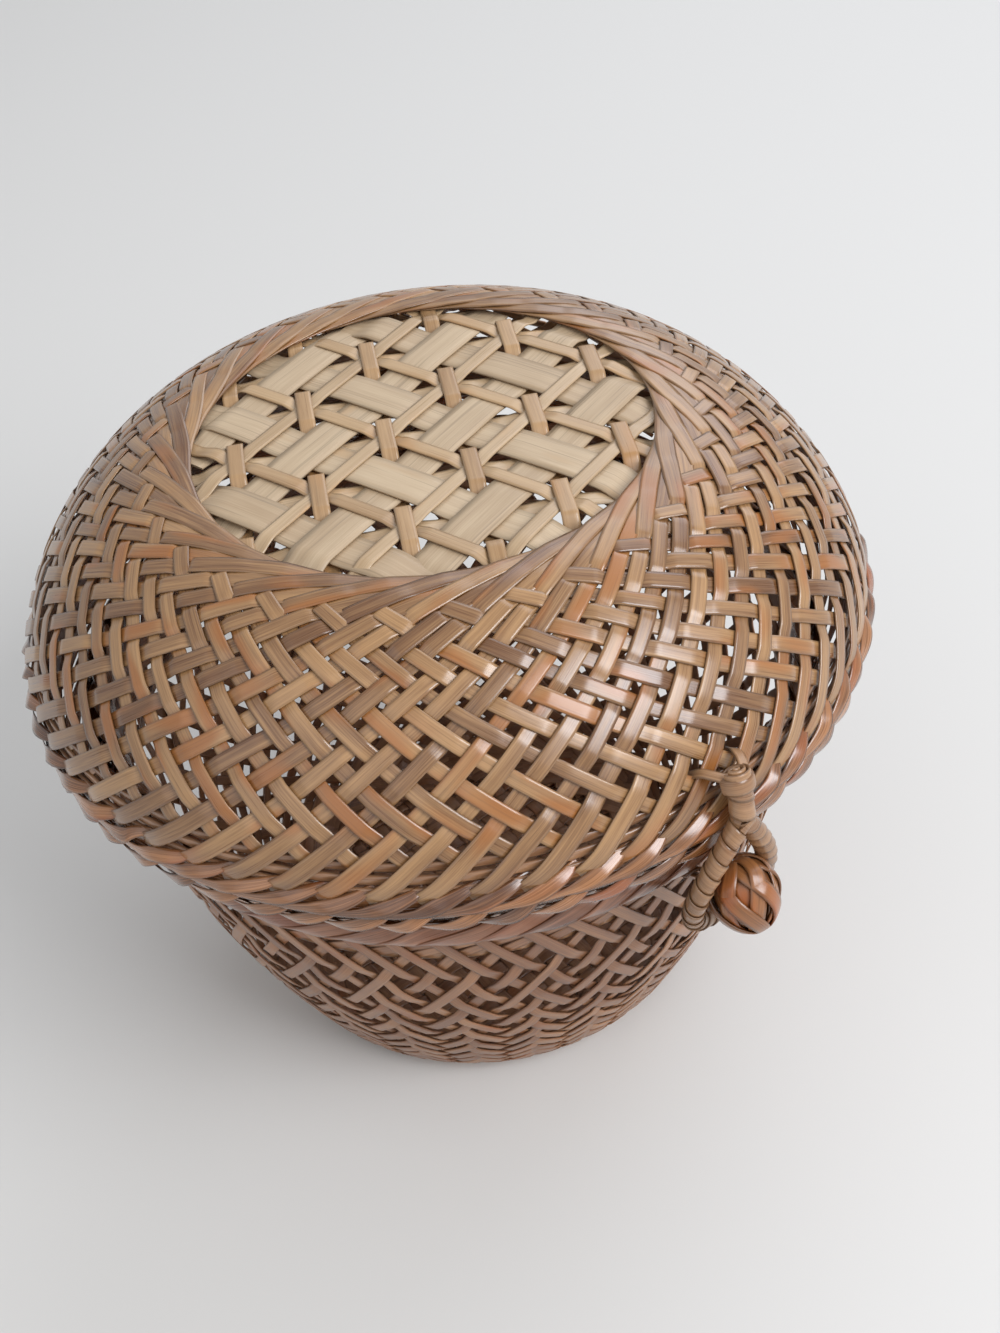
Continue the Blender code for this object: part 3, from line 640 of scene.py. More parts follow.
@dataclass(frozen=True)
class Shape:
    """Main sizes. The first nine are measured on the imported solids."""

    lid_radius: float
    rope_radius: float
    mouth_radius: float
    lid_rope_z: float
    body_rope_z: float
    crown_radius: float
    crown_top: float
    mat_radius: float
    mat_top: float
    gap: float = 0.3
    wall: float = 2.0
    bulge_rise: float = 20.0
    dome_power: float = 1.25
    crown_lip: float = 0.9
    base_radius: float = 68.2
    body_belly: float = 5.0
    base_turn: float = 7.0
    base_lap: float = 9.0

    @classmethod
    def measured(cls) -> "Shape":
        """Measure the solids' boxes.

        Returns:
            The main sizes.
        """
        low, high = box("body_rope")
        lid_low, lid_high = box("lid_rope")
        crown, mat = box("lid_crown_ring")[1], box("base_mat")[1]
        rope_radius = (high[2] - low[2]) / 2
        return cls(
            lid_radius=box("lid_dome")[1][0],
            rope_radius=rope_radius,
            mouth_radius=high[0] - rope_radius,
            lid_rope_z=(lid_high[2] + lid_low[2]) / 2,
            body_rope_z=(high[2] + low[2]) / 2,
            crown_radius=crown[0],
            crown_top=crown[2],
            mat_radius=mat[0],
            mat_top=mat[2],
        )

    def rope(self, height: float, first: float, last: float, steps: int = 28) -> np.ndarray:
        """Outline round a border's rope.

        Args:
            height: Height of the rope's middle.
            first: Angle above outward where it starts.
            last: Angle where it ends.
            steps: Straight runs.

        Returns:
            Radii and heights.
        """
        points = ring(np.radians(np.linspace(first, last, steps + 1)), self.rope_radius)
        return points[:, :2] + [self.mouth_radius, height]

    def dome(self) -> np.ndarray:
        """Outline of the lid from the crown down over the bulge to the border.

        Returns:
            Radii and heights.
        """
        start = self.crown_radius + self.gap
        bulge_z = (self.lid_rope_z + self.body_rope_z) / 2 + self.bulge_rise
        top = self.crown_top - self.crown_lip
        angle = np.radians(np.linspace(0, 90, 61))
        radii = start + (self.lid_radius - start) * np.sin(angle) ** self.dome_power
        heights = bulge_z + (top - bulge_z) * np.cos(angle) ** self.dome_power
        end = (self.rope_radius + self.gap + self.wall) * math.cos(math.pi / 4)
        low, reach = self.lid_rope_z + end, self.mouth_radius + end
        angle = np.radians(np.linspace(3, 81, 20))
        radii = np.concatenate([radii, reach + (self.lid_radius - reach) * np.cos(angle), [reach]])
        heights = np.concatenate([heights, bulge_z - (bulge_z - low) * np.sin(angle), [low]])
        return np.stack([radii, heights], axis=1)

    def side(self, height: Any) -> np.ndarray:
        """Outline of the body's side.

        Args:
            height: Heights above the floor.

        Returns:
            Radii and heights.
        """
        share = 1 - height / self.body_rope_z
        straight = self.mouth_radius + (self.base_radius - self.mouth_radius) * share
        return np.stack([straight + 4 * self.body_belly * share * (1 - share), height], axis=-1)

    def body(self) -> np.ndarray:
        """Outline of the body from the middle of its border down to the turned-in lap.

        Returns:
            Radii and heights.
        """
        floor = self.mat_top + self.gap
        wall = self.side(np.linspace(self.body_rope_z, floor + self.base_turn, 60))
        foot = wall[-1]
        corner = np.array([foot[0] + self.side(floor)[0] - self.side(floor + self.base_turn)[0], floor])
        end = corner - [self.base_turn, 0.0]
        turned_in = bent([foot, corner, end], np.linspace(0.1, 1.0, 10))
        return np.vstack([wall, turned_in, end - [self.base_lap, 0.0]])


@dataclass
class Assembly:
    """A sub-assembly of the basket, which shares its main sizes and its weaver with the others."""

    shape: Shape
    weaver: StripWeaver


def rim_strands(outline: np.ndarray, count: int, reach: float, random: np.random.Generator) -> list[Strip]:
    """Short bent strands plaited over a rim.

    Args:
        outline: Outline of the rim's rope, from where the strands set off.
        count: How many strands go round.
        reach: Share of the full length round the rope that they cover.
        random: Source of their small differences.

    Returns:
        The strands.
    """
    azimuth_way_depth_width = (
        (5.0, 0.0, 0.9, 0.3),
        (2.5, 1.6, 0.5, 0.8),
        (-1.5, 4.0, 0.3, 1.05),
        (-6.0, 6.6, 0.25, 1.05),
        (-10.5, 9.4, 0.4, 0.85),
        (-14.0, 12.0, 0.8, 0.35),
    )
    shallowest, tilt = 0.25, 8.0
    surface = Turned(outline)
    curve = through(azimuth_way_depth_width, 36)
    strips = []
    for k in range(count):
        path = curve + through(random.normal(0, (0.4, 0.2, 0.0, 0.05), (5, 4)), len(curve))
        azimuth = PHOTO_TURN + 360 / count * k + path[:, 0]
        points, faces = surface.place(path[:, 1] * reach, azimuth, np.maximum(path[:, 2], shallowest))
        strips.append(Strip(points, roll(points, faces, tilt), path[:, 3], random.random()))
    return strips


@dataclass
class Dome(Assembly):
    """The lid's twill: falling strips, rising strips that swirl into the crown, and the border's strands."""

    strip: Kind = Kind(DOME_CANE, Slot.DOME, 4.2, 0.5)
    border_strand: Kind = Kind(BORDER_CANE, Slot.ROPE, 4.0, 0.6, 0.5)
    rim_strand: Kind = Kind(BORDER_CANE, Slot.ROPE, 4.6, 0.9, 0.3)
    count: int = 60  # in each direction, and in each row of the border
    middle: float = 1.0  # depth of the weave's middle under the surface
    rise: float = 0.43  # over or under that middle at a crossing
    samples: int = 96
    foot: float = 42.5  # turn in degrees at which rising strips reach the border
    border_start: float = PHOTO_TURN - 118.6
    seed: int = 7

    def __post_init__(self) -> None:
        """Measure the surface, with the crown's rim before its start and the border after its end."""
        inward_and_down = ((9.0, 5.0), (6.4, 1.2), (4.4, 0.25), (2.0, 0.2))
        crown = np.array([self.shape.crown_radius, self.shape.crown_top]) - inward_and_down
        dome = self.shape.dome()
        lead = np.hypot(*np.diff(np.vstack([crown, dome[:1]]), axis=0).T).sum()
        border = self.shape.rope(self.shape.lid_rope_z, 20, -80, 14)
        self.surface = Turned(np.vstack([crown, dome, border]), -lead)
        self.random = np.random.default_rng(self.seed)
        self.step = 360 / self.count

    @staticmethod
    def _way(turn: np.ndarray) -> np.ndarray:
        """Distance down the dome after a turn in degrees, level where the strips lie round the crown."""
        level_turn, first_way, fall, steeper, steeper_above = -26.0, 8.5, 0.9, 0.0112, 0.0173
        turn = np.maximum(turn, level_turn)
        return first_way + fall * turn + np.where(turn > 0, steeper, steeper_above) * turn**2

    @staticmethod
    def _falls_on_top(row: int, strip: int) -> bool:
        """Say whether a falling strip lies on top at a crossing row."""
        lifted = row > 0 or (row > -2 and strip % 2 == 0)
        return lifted and ((row + 1) // 2) % 2 == 0

    def _depth(self, turn: np.ndarray, strip: int, falling: bool, rows: range) -> np.ndarray:
        """Depth of a strip under the surface as it goes over and under the others.

        Args:
            turn: Turns in degrees, where the depth is wanted.
            strip: Number of the strip.
            falling: Whether it is a falling strip.
            rows: Numbers of its crossings.

        Returns:
            A depth for each turn.
        """
        levels = [
            self.rise if self._falls_on_top(row, strip if falling else strip - row) == falling else -self.rise
            for row in rows
        ]
        places = self.step / 2 * (np.array(rows) + 0.5)
        return self.middle - stepped(turn, places, np.array(levels))

    def _wander(self, turn: np.ndarray) -> np.ndarray:
        """Small sideways drift of a hand-laid strip, in degrees."""
        phase, other = self.random.uniform(0, math.tau, 2)
        return 0.32 * np.sin(turn / 9 + phase) + 0.16 * np.sin(turn / 3.7 + other)

    def falling(self) -> list[Strip]:
        """Strips that run down to the right, from under the crown to under the border.

        Returns:
            The strips.
        """
        start, end = -7.0, self.foot + 2
        under_crown, under_border = 2.2, 1.6
        strips = []
        for i in range(self.count):
            turn = np.linspace(start, end, self.samples)
            azimuth = PHOTO_TURN + self.step * i + turn + self._wander(turn)
            depth = self._depth(turn, i, True, range(-5, 16))
            depth += under_crown * ramp(turn, -3, start) ** 1.5 + under_border * ramp(turn, self.foot, end)
            points, faces = self.surface.place(self._way(turn), azimuth, depth)
            width = self.random.uniform(0.9, 1.08)
            strips.append(Strip.even(points, faces, self.random.random(), width))
        return strips

    def rising(self) -> list[Strip]:
        """Strips that run down to the left, from the crown's swirl to the border.

        Returns:
            The strips.
        """
        tucked_start, swirl_start = -15, -44
        turns_widths = (
            (-44, 0.5), (-36, 0.95), (-18, 1.12), (-6, 1.08), (0, 1.0), (30, 1.0), (self.foot, 1.08)
        )
        strips = []
        for j in range(self.count):
            tucked = j % 2 == 1
            turn = np.linspace(tucked_start if tucked else swirl_start, self.foot, self.samples + 30)
            drift = self._wander(turn) * ramp(turn, -6, 2)
            joined = ramp(turn, -1, -10) ** 1.5 * tucked
            azimuth = PHOTO_TURN + self.step * (j + 0.5 + joined) - turn + drift
            depth = self._depth(turn, j, False, range(-1, 15))
            swirl = ramp(turn, 0, -6)
            sunk = 0.5 + 0.06 * np.clip(-turn - 10, 0, None) + 0.5 * joined
            depth = depth * (1 - swirl) + sunk * swirl
            way = self._way(turn)
            points, faces = self.surface.place(way, azimuth, depth)
            tail = self._tail(azimuth[-1], way[-1], depth[-1])
            points, faces = np.vstack([points, tail.points]), np.vstack([faces, tail.faces])
            widths = np.concatenate([np.interp(turn, *np.array(turns_widths).T), tail.widths])
            widths *= self.random.uniform(0.92, 1.08)
            strips.append(Strip(points, faces, widths, self.random.random()))
        return strips

    def _tail(self, azimuth: float, way: float, depth: float) -> Strip:
        """End of a rising strip, which bends to the left and dives under the border's strands.

        Args:
            azimuth: Azimuth where the strip reaches the border.
            way: Distance down the dome there.
            depth: Depth there.

        Returns:
            The end, without the point that it starts from.
        """
        azimuth_way_depth_width = (
            (0.0, 0.0, 0.0, 1.08),
            (-2.4, 4.4, -0.1, 1.08),
            (-4.1, 7.4, 0.1, 1.04),
            (-5.9, 10.2, 0.9, 0.95),
            (-7.3, 12.0, 2.0, 0.75),
            (-8.7, 13.4, 3.4, 0.5),
        )
        curve = through(azimuth_way_depth_width, 22)[1:]
        drift = self.random.normal(0, 0.5) * np.linspace(0, 1, len(curve))
        azimuth, way, depth = azimuth + curve[:, 0] + drift, way + curve[:, 1], depth + curve[:, 2]
        points, faces = self.surface.place(way, azimuth, depth)
        return Strip(points, faces, curve[:, 3], 0.0)

    def border(self) -> list[Strip]:
        """Strands of the border in rows: each a broad head that tips upward, then a thin tail to the left.

        Returns:
            The strands, and the strips that lie all the way round behind them.
        """
        azimuth_way_depth_width_tip = (
            (1.9, 75.2, 3.6, 0.35, 26),
            (0.9, 76.0, 2.6, 0.6, 32),
            (-0.2, 77.0, 1.5, 0.85, 34),
            (-1.8, 78.3, 0.5, 1.0, 32),
            (-3.4, 79.7, 0.2, 1.0, 26),
            (-5.2, 81.0, 0.4, 0.86, 18),
            (-7.4, 82.2, 0.9, 0.6, 10),
            (-12.0, 83.8, 1.4, 0.46, 4),
            (-20.6, 86.0, 2.6, 0.3, 0),
        )
        shift_drop_width = ((0.0, 0.0, 1.0), (-10.5, 8.0, 0.96), (-21.0, 15.6, 0.92))
        spread = (0.35, 0.25, 0.0, 0.05, 3.0)
        ring_ways, ring_depth, ring_width = (79.5, 84.0, 88.5, 93.0), 2.5, 1.25
        curve = through(azimuth_way_depth_width_tip, 44)
        strips = []
        for shift, drop, width in shift_drop_width:
            for k in range(self.count):
                path = curve + through(self.random.normal(0, spread, (5, 5)), len(curve))
                azimuth = self.border_start + shift + self.step * k + path[:, 0]
                points, faces = self.surface.place(path[:, 1] + drop, azimuth, path[:, 2])
                faces = roll(points, faces, -path[:, 4])
                strips.append(Strip(points, faces, width * path[:, 3], self.random.random()))
        for way in ring_ways:
            points, faces = self.surface.place(way, np.linspace(0, 366, 160), ring_depth)
            strips.append(Strip.even(points, faces, 0.1, ring_width))
        return strips

    def rope(self) -> list[Strip]:
        """Strands round the rim itself, outside under the border's last row and inside the lid."""
        outside, inside = (
            rim_strands(self.shape.rope(self.shape.lid_rope_z, first, last), self.count, reach, self.random)
            for first, last, reach in ((62, -115, 0.98), (-98, -292, 1.1))
        )
        return outside + inside

    def build(self) -> None:
        """Weave and dress the lid's side."""
        lid, weave = Body.LID, self.weaver.weave
        weave("lid_falling_strips", self.falling(), self.strip, lid, "lid_dome")
        weave("lid_rising_strips", self.rising(), self.strip, lid, "lid_dome", "lid_crown_ring")
        weave("lid_border_strands", self.border(), self.border_strand, lid, "lid_dome")
        weave("lid_rim_strands", self.rope(), self.rim_strand, lid, "lid_rope")


@dataclass
class BodyWall(Assembly):
    """The body's twill, which turns in under its foot, and the strands of its border."""

    strip: Kind = Kind(BODY_CANE, Slot.BODY, 3.8, 0.55)
    border_strand: Kind = Kind(RIM_CANE, Slot.ROPE, 5.2, 0.9, 0.3)
    count: int = 54  # in each direction, and on the border
    middle: float = 1.0  # depth of the weave's middle under the surface
    rise: float = 0.43  # over or under that middle at a crossing
    first_row: float = 16.0  # distance down the side of the first crossing
    lean: float = 34.0  # degrees by which the strips lean at the border
    foot_lean: float = 30.0  # degrees more towards the foot
    start: float = PHOTO_TURN - 114.6
    seed: int = 11

    def __post_init__(self) -> None:
        """Measure the surface and tabulate how far the strips turn on their way down."""
        self.surface = Turned(self.shape.body())
        self.random = np.random.default_rng(self.seed)
        self.step = 360 / self.count
        self.end = float(self.surface.way[-1])
        self.ways = np.linspace(3.0, self.end, 400)
        lean = self.lean + self.foot_lean * np.clip((self.ways - 45) / 70, 0, 1.05) ** 1.5
        radius = np.interp(self.ways, self.surface.way, self.surface.radii)
        rate = np.degrees(np.tan(np.radians(lean)) / radius)
        turn = np.concatenate([[0.0], np.cumsum((rate[1:] + rate[:-1]) / 2 * np.diff(self.ways))])
        self.turns = turn - np.interp(self.first_row, self.ways, turn)

    @staticmethod
    def _falls_on_top(row: int, falling: int, rising: int) -> bool:
        """Say whether the falling strip lies on top where two strips cross."""
        return row <= 1 or (row > 2 and (falling + rising) % 4 in (0, 1))

    def _strips(self, falling: bool) -> list[Strip]:
        """Lay one family of strips.

        Args:
            falling: Whether they run down to the right.

        Returns:
            The strips.
        """
        half = self.step / 2
        rows = np.arange(-2, int(self.turns[-1] / half) + 2)
        way = np.linspace(4.0, self.end - 1.0, 100)
        turn = np.interp(way, self.ways, self.turns)
        strips = []
        for i in range(self.count):
            pairs = [(i, i + row) if falling else (i - row, i) for row in rows]
            on_top = np.array([self._falls_on_top(row, *pair) for row, pair in zip(rows, pairs)])
            levels = np.where(on_top == falling, self.rise, -self.rise)
            depth = self.middle - stepped(turn, half * rows, levels)
            phase, other = self.random.uniform(0, math.tau, 2)
            drift = 0.34 * np.sin(turn / 8 + phase) + 0.18 * np.sin(turn / 3.1 + other)
            azimuth = self.start + self.step * i + drift + (turn if falling else -turn)
            widths = np.full(len(way), self.random.uniform(0.88, 1.08))
            if not falling:
                short = np.clip(18 - way, 0, None)
                at_border = ramp(way, 13, 7)
                azimuth += 0.35 * short + 0.05 * short**2
                widths *= 1 + 0.35 * at_border
                depth -= 0.15 * at_border
            points, faces = self.surface.place(way, azimuth, depth)
            strips.append(Strip(points, faces, widths, self.random.random()))
        return strips

    def border(self) -> list[Strip]:
        """Strands over the body's rim, outside and inside."""
        outside, inside = (
            rim_strands(self.shape.rope(self.shape.body_rope_z, first, last), self.count, 1.1, self.random)
            for first, last in ((112, -80), (276, 84))
        )
        return outside + inside

    def build(self) -> None:
        """Weave and dress the body."""
        basket, weave = Body.BASKET, self.weaver.weave
        weave("body_falling_strips", self._strips(True), self.strip, basket, "body_wall")
        weave("body_rising_strips", self._strips(False), self.strip, basket, "body_wall")
        weave("body_border_strands", self.border(), self.border_strand, basket, "body_rope")


@dataclass(frozen=True)
class Course:
    """One of the panel's two square directions.

    Attributes:
        letter: Ends the names of its solids.
        along: The way that its strips run.
        across: The way from one strip to the next.
        shift: How far the axis lies along it from the lattice's origin, in pitches.
        cross: How far the axis lies across it, in pitches.
        first: Place of its first wide strip, in pitches.
        sign: 1 where its strips start on top, otherwise -1.
        dip: How far its narrow strips dip at a star.
        narrow: Kind of its narrow strips.
    """

    letter: str
    along: np.ndarray
    across: np.ndarray
    shift: float
    cross: float
    first: float
    sign: int
    dip: float
    narrow: Kind


@dataclass
class Panel(Assembly):
    """The star lattice of the lid's flat top: wide, narrow and diagonal strips."""

    WIDES = 5
    NARROWS = 4
    wide: Kind = Kind(WIDE_STRAW, Slot.WIDE, 12.2, 0.7, 0.7)
    narrow_a: Kind = Kind(PALE_CANE, Slot.NARROW, 4.5, 0.45)
    narrow_b: Kind = Kind(NARROW_CANE, Slot.NARROW, 4.5, 0.45)
    star_over: Kind = Kind(STAR_CANE, Slot.NARROW, 4.6, 0.45)
    star_under: Kind = Kind(PALE_CANE, Slot.NARROW, 5.2, 0.45)
    pitch: float = 28.2  # from star to star
    turn: float = -72.1  # azimuth of the strips of course b
    shift_b: float = 1.236  # pitches from a star to the axis along course b
    shift_a: float = 0.25  # the same along course a
    height: float = 193.0
    wave: float = 0.5  # rise or fall of a wide strip at a crossing
    lift: float = 0.9  # height of the narrow strips over the middle
    reach: float = 65.2  # radius at which the strips end
    edge: float = 55.0  # radius from which they bend down
    edge_run: float = 6.0
    edge_drop: float = 1.7
    seed: int = 5

    def __post_init__(self) -> None:
        """Work out the two square directions."""
        angle = math.radians(self.turn)
        self.b = np.array([math.cos(angle), math.sin(angle), 0.0])
        self.a = np.array([-math.sin(angle), math.cos(angle), 0.0])
        self.courses = (
            Course("a", self.a, self.b, self.shift_a, self.shift_b, -0.5, -1, 0.35, self.narrow_a),
            Course("b", self.b, self.a, self.shift_b, self.shift_a, -1.5, 1, 0.9, self.narrow_b),
        )
        self.random = np.random.default_rng(self.seed)

    def _line(
        self, along: np.ndarray, across: np.ndarray, offset: float, half: float, rule: Callable, samples: int
    ) -> list[Strip]:
        """Lay one straight strip, cut round at the panel's edge.

        Args:
            along: Its direction.
            across: The direction in which it is offset.
            offset: How far it lies from the axis.
            half: Half of its width.
            rule: Gives the height above the panel's middle for distances along the strip.
            samples: How many points it takes.

        Returns:
            The strip, or none where it lies outside the panel.
        """
        cut_at, shortest = 0.4, 2.0
        side = abs(offset) + half * cut_at
        if side > self.reach - shortest:
            return []
        span = math.sqrt(self.reach**2 - side**2)
        places = np.linspace(-span, span, samples)
        points = places[:, None] * along + offset * across
        out = np.hypot(points[:, 0], points[:, 1])
        bend = self.edge_drop * smooth(out, self.edge, self.edge + self.edge_run)
        points[:, 2] = self.height + rule(places) - bend
        return [Strip.even(points, UPWARD, self.random.random())]

    def wides(self, course: Course) -> list[Strip]:
        """Wide strips of one course, plain woven with those of the other.

        Args:
            course: The course.

        Returns:
            The strips.
        """
        crossings = np.arange(-3.5, 6)
        middles, flat = (crossings - course.shift) * self.pitch, 0.24
        strips = []
        for row in course.first + np.arange(self.WIDES):
            even = (np.floor(crossings) + math.floor(row)) % 2 == 0
            levels = np.where(even, course.sign, -course.sign) * self.wave
            strips += self._line(
                course.along, course.across, (row - course.cross) * self.pitch, self.wide.width / 2,
                lambda places, heights=levels: stepped(places, middles, heights, flat), 110,
            )
        return strips

    def narrows(self, course: Course) -> list[Strip]:
        """Narrow strips of one course, which lie over the wide ones and dip at the stars.

        Args:
            course: The course.

        Returns:
            The strips.
        """

        dip_start, dip_end = 2.2, 6.7

        def rule(places: np.ndarray) -> np.ndarray:
            """Height along a strip."""
            star = np.abs((places / self.pitch + course.shift + 0.5) % 1 - 0.5) * self.pitch
            return self.lift - course.dip * (1 - smooth(star, dip_start, dip_end))

        strips = []
        for row in course.first + 0.5 + np.arange(self.NARROWS):
            offset = (row - course.cross) * self.pitch
            strips += self._line(course.along, course.across, offset, course.narrow.width / 2, rule, 140)
        return strips

    def diagonals(self, over: bool) -> list[Strip]:
        """Diagonal strips through the stars.

        Args:
            over: Whether they cross over the stars, towards b less a, or under them, towards b and a.

        Returns:
            The strips.
        """
        along = unit(self.b - self.a if over else self.b + self.a)
        across = unit(self.b + self.a if over else self.a - self.b)
        at_star, between = (1.3, -1.9) if over else (-0.52, -1.2)
        near, far = (6.5, 11.5) if over else (2.0, 8.5)
        half, diagonal = 2.2, self.pitch * math.sqrt(2)
        centre = (-self.shift_b * self.b - self.shift_a * self.a) * self.pitch
        strips = []
        for k in range(-6, 7):
            start = centre @ along + (k % 2) * diagonal / 2

            def rule(places: np.ndarray) -> np.ndarray:
                """Height along the strip."""
                star = np.abs(((places - start) / diagonal + 0.5) % 1 - 0.5) * diagonal
                share = smooth(star, near, far)
                return at_star * (1 - share) + between * share

            strips += self._line(along, across, centre @ across + k * diagonal / 2, half, rule, 170)
        return strips

    def build(self) -> None:
        """Weave and dress the panel."""
        for course in self.courses:
            for width, kind, count, strips in (
                ("wide", self.wide, self.WIDES, self.wides(course)),
                ("narrow", course.narrow, self.NARROWS, self.narrows(course)),
            ):
                nodes = [f"panel_{width}_{course.letter}{i + 1}" for i in range(count)]
                name = f"panel_{width}_strips_{course.letter}"
                self.weaver.weave(name, strips, kind, Body.LID, *nodes)
        self.weaver.weave("panel_star_strips_over", self.diagonals(True), self.star_over, Body.LID)
        self.weaver.weave("panel_star_strips_under", self.diagonals(False), self.star_under, Body.LID)


@dataclass
class Hoops(Assembly):
    """Flat cane hoops inside the lid and the body, whose ends lap by some degrees."""

    cane: Kind = Kind(HOOP_CANE, Slot.HOOP, 3.1, 1.2, 0.5)
    lap: float = 9.0

    def _hoop(self, node: str, tone: float, lift: float = 0.0, inset: float = 0.0) -> Strip:
        """Lay a hoop where its solid is, or a little higher and further in.

        Args:
            node: The solid.
            tone: The hoop's shade, which also says where its ends lap.
            lift: How much higher it lies.
            inset: How much further in it lies.

        Returns:
            The hoop.
        """
        low, high = box(node)
        clearance, thick = 0.1, self.cane.thickness
        turn = np.linspace(0, 360 + self.lap, 150)
        lapped = ramp(turn, 360 - 0.4 * self.lap, 360 + 0.6 * self.lap)
        radius = high[0] - thick / 2 - clearance - inset - 0.9 * thick * lapped
        angle = np.radians(turn + 250 * tone)
        return Strip.even(ring(angle, radius, (low[2] + high[2]) / 2 + lift), ring(angle), tone)

    def build(self) -> None:
        """Bend and dress the hoops, of which the lid's upper one is double."""
        upper = [self._hoop("lid_hoop_upper", 0.7), self._hoop("lid_hoop_upper", 0.1, 3.4, 1.1)]
        for node, body, hoops in (
            ("lid_hoop_lower", Body.LID, [self._hoop("lid_hoop_lower", 0.3)]),
            ("lid_hoop_upper", Body.LID, upper),
            ("body_hoop", Body.BASKET, [self._hoop("body_hoop", 0.5)]),
        ):
            self.weaver.weave(node + "_cane", hoops, self.cane, body, node)


@dataclass
class BaseMat(Assembly):
    """The round mat in the bottom, plain woven from straight strips and bound round its edge."""

    strip: Kind = Kind(BODY_CANE, Slot.BODY, 4.9, 0.6)
    step: float = 5.4
    rise: float = 0.4
    seed: int = 3

    def _strips(self) -> list[Strip]:
        """Lay both directions and the edge.

        Returns:
            The strips.
        """
        random = np.random.default_rng(self.seed)
        middle = self.shape.mat_top / 2
        reach = self.shape.mat_radius - self.strip.width / 2
        last = int(reach / self.step)
        crossings = np.arange(-last - 2, last + 3)
        strips = []
        for axis in (0, 1):
            for row in range(-last, last + 1):
                span = math.sqrt(reach**2 - (row * self.step) ** 2)
                places = np.linspace(-span, span, 70)
                levels = np.where((crossings + row + axis) % 2 == 0, self.rise, -self.rise)
                points = np.full((len(places), 3), row * self.step)
                points[:, axis] = places
                points[:, 2] = middle + stepped(places, crossings * self.step, levels)
                strips.append(Strip.even(points, UPWARD, random.random()))
        angle = np.radians(np.linspace(0, 366, 160))
        edge = ring(angle, self.shape.mat_radius - self.strip.thickness / 2, middle)
        return strips + [Strip.even(edge, ring(angle), 0.3, 0.38)]

    def build(self) -> None:
        """Weave and dress the mat."""
        self.weaver.weave("base_mat_strips", self._strips(), self.strip, Body.BASKET, "base_mat")


@dataclass
class Hinge(Assembly):
    """Pin and wound ties at the back."""

    pin: Kind = Kind(RATTAN_CORE, Slot.CORE, 3.0, 3.0, 0.0)
    strand: Kind = Kind(BINDING_STRIP, Slot.CORE, 1.5, 0.9, 0.3)
    turns: int = 3

    def __post_init__(self) -> None:
        """Find the pin's solid."""
        self.low, self.high = box("hinge_pin")
        self.middle = (self.low + self.high) / 2

    def _belt(self, x: float, rope_z: float) -> Strip:
        """Wind a strand a few times round a rope and the pin.

        Args:
            x: Where its middle lies along the pin.
            rope_z: Height of the rope's middle.

        Returns:
            The strand.
        """
        pin = self.middle[1:]
        rope = np.array([math.sqrt(self.shape.mouth_radius**2 - x**2), rope_z])
        wide, slim = self.shape.rope_radius + 0.9, self.pin.width / 2 + 0.8
        heading = math.atan2(pin[1] - rope[1], pin[0] - rope[0])
        lean = math.acos((wide - slim) / math.dist(rope, pin))
        circle = [(rope, wide, heading + a) for a in np.linspace(lean, math.tau - lean, 18)]
        circle += [(pin, slim, heading + a) for a in np.linspace(-lean, lean, 10)]
        centres, radii, angles = (np.array(part) for part in zip(*circle * self.turns))
        shift = (np.linspace(0, 1, len(angles)) - 0.5) * self.strand.width * (self.turns - 0.6)
        looks = np.stack([0 * angles, np.cos(angles), np.sin(angles)], axis=1)
        points = looks * radii[:, None]
        points[:, 0] = x + shift
        points[:, 1:] += centres
        return Strip.even(points, looks, 0.2 + 0.02 * abs(x))

    def build(self) -> None:
        """Make and dress the hinge."""
        points = np.tile(self.middle, (16, 1))
        points[:, 0] = np.linspace(self.low[0], self.high[0], 16)
        rod = Strip.even(points, UPWARD, 0.5)
        self.weaver.weave("hinge_pin_cane", [rod], self.pin, Body.BASKET, "hinge_pin")
        for node, body, rope_z in (
            ("lid_hinge_tie", Body.LID, self.shape.lid_rope_z),
            ("body_hinge_tie_left", Body.BASKET, self.shape.body_rope_z),
            ("body_hinge_tie_right", Body.BASKET, self.shape.body_rope_z),
        ):
            low, high = box(node)
            strand = self._belt((low[0] + high[0]) / 2, rope_z)
            self.weaver.weave(node + "_strand", [strand], self.strand, body, node)


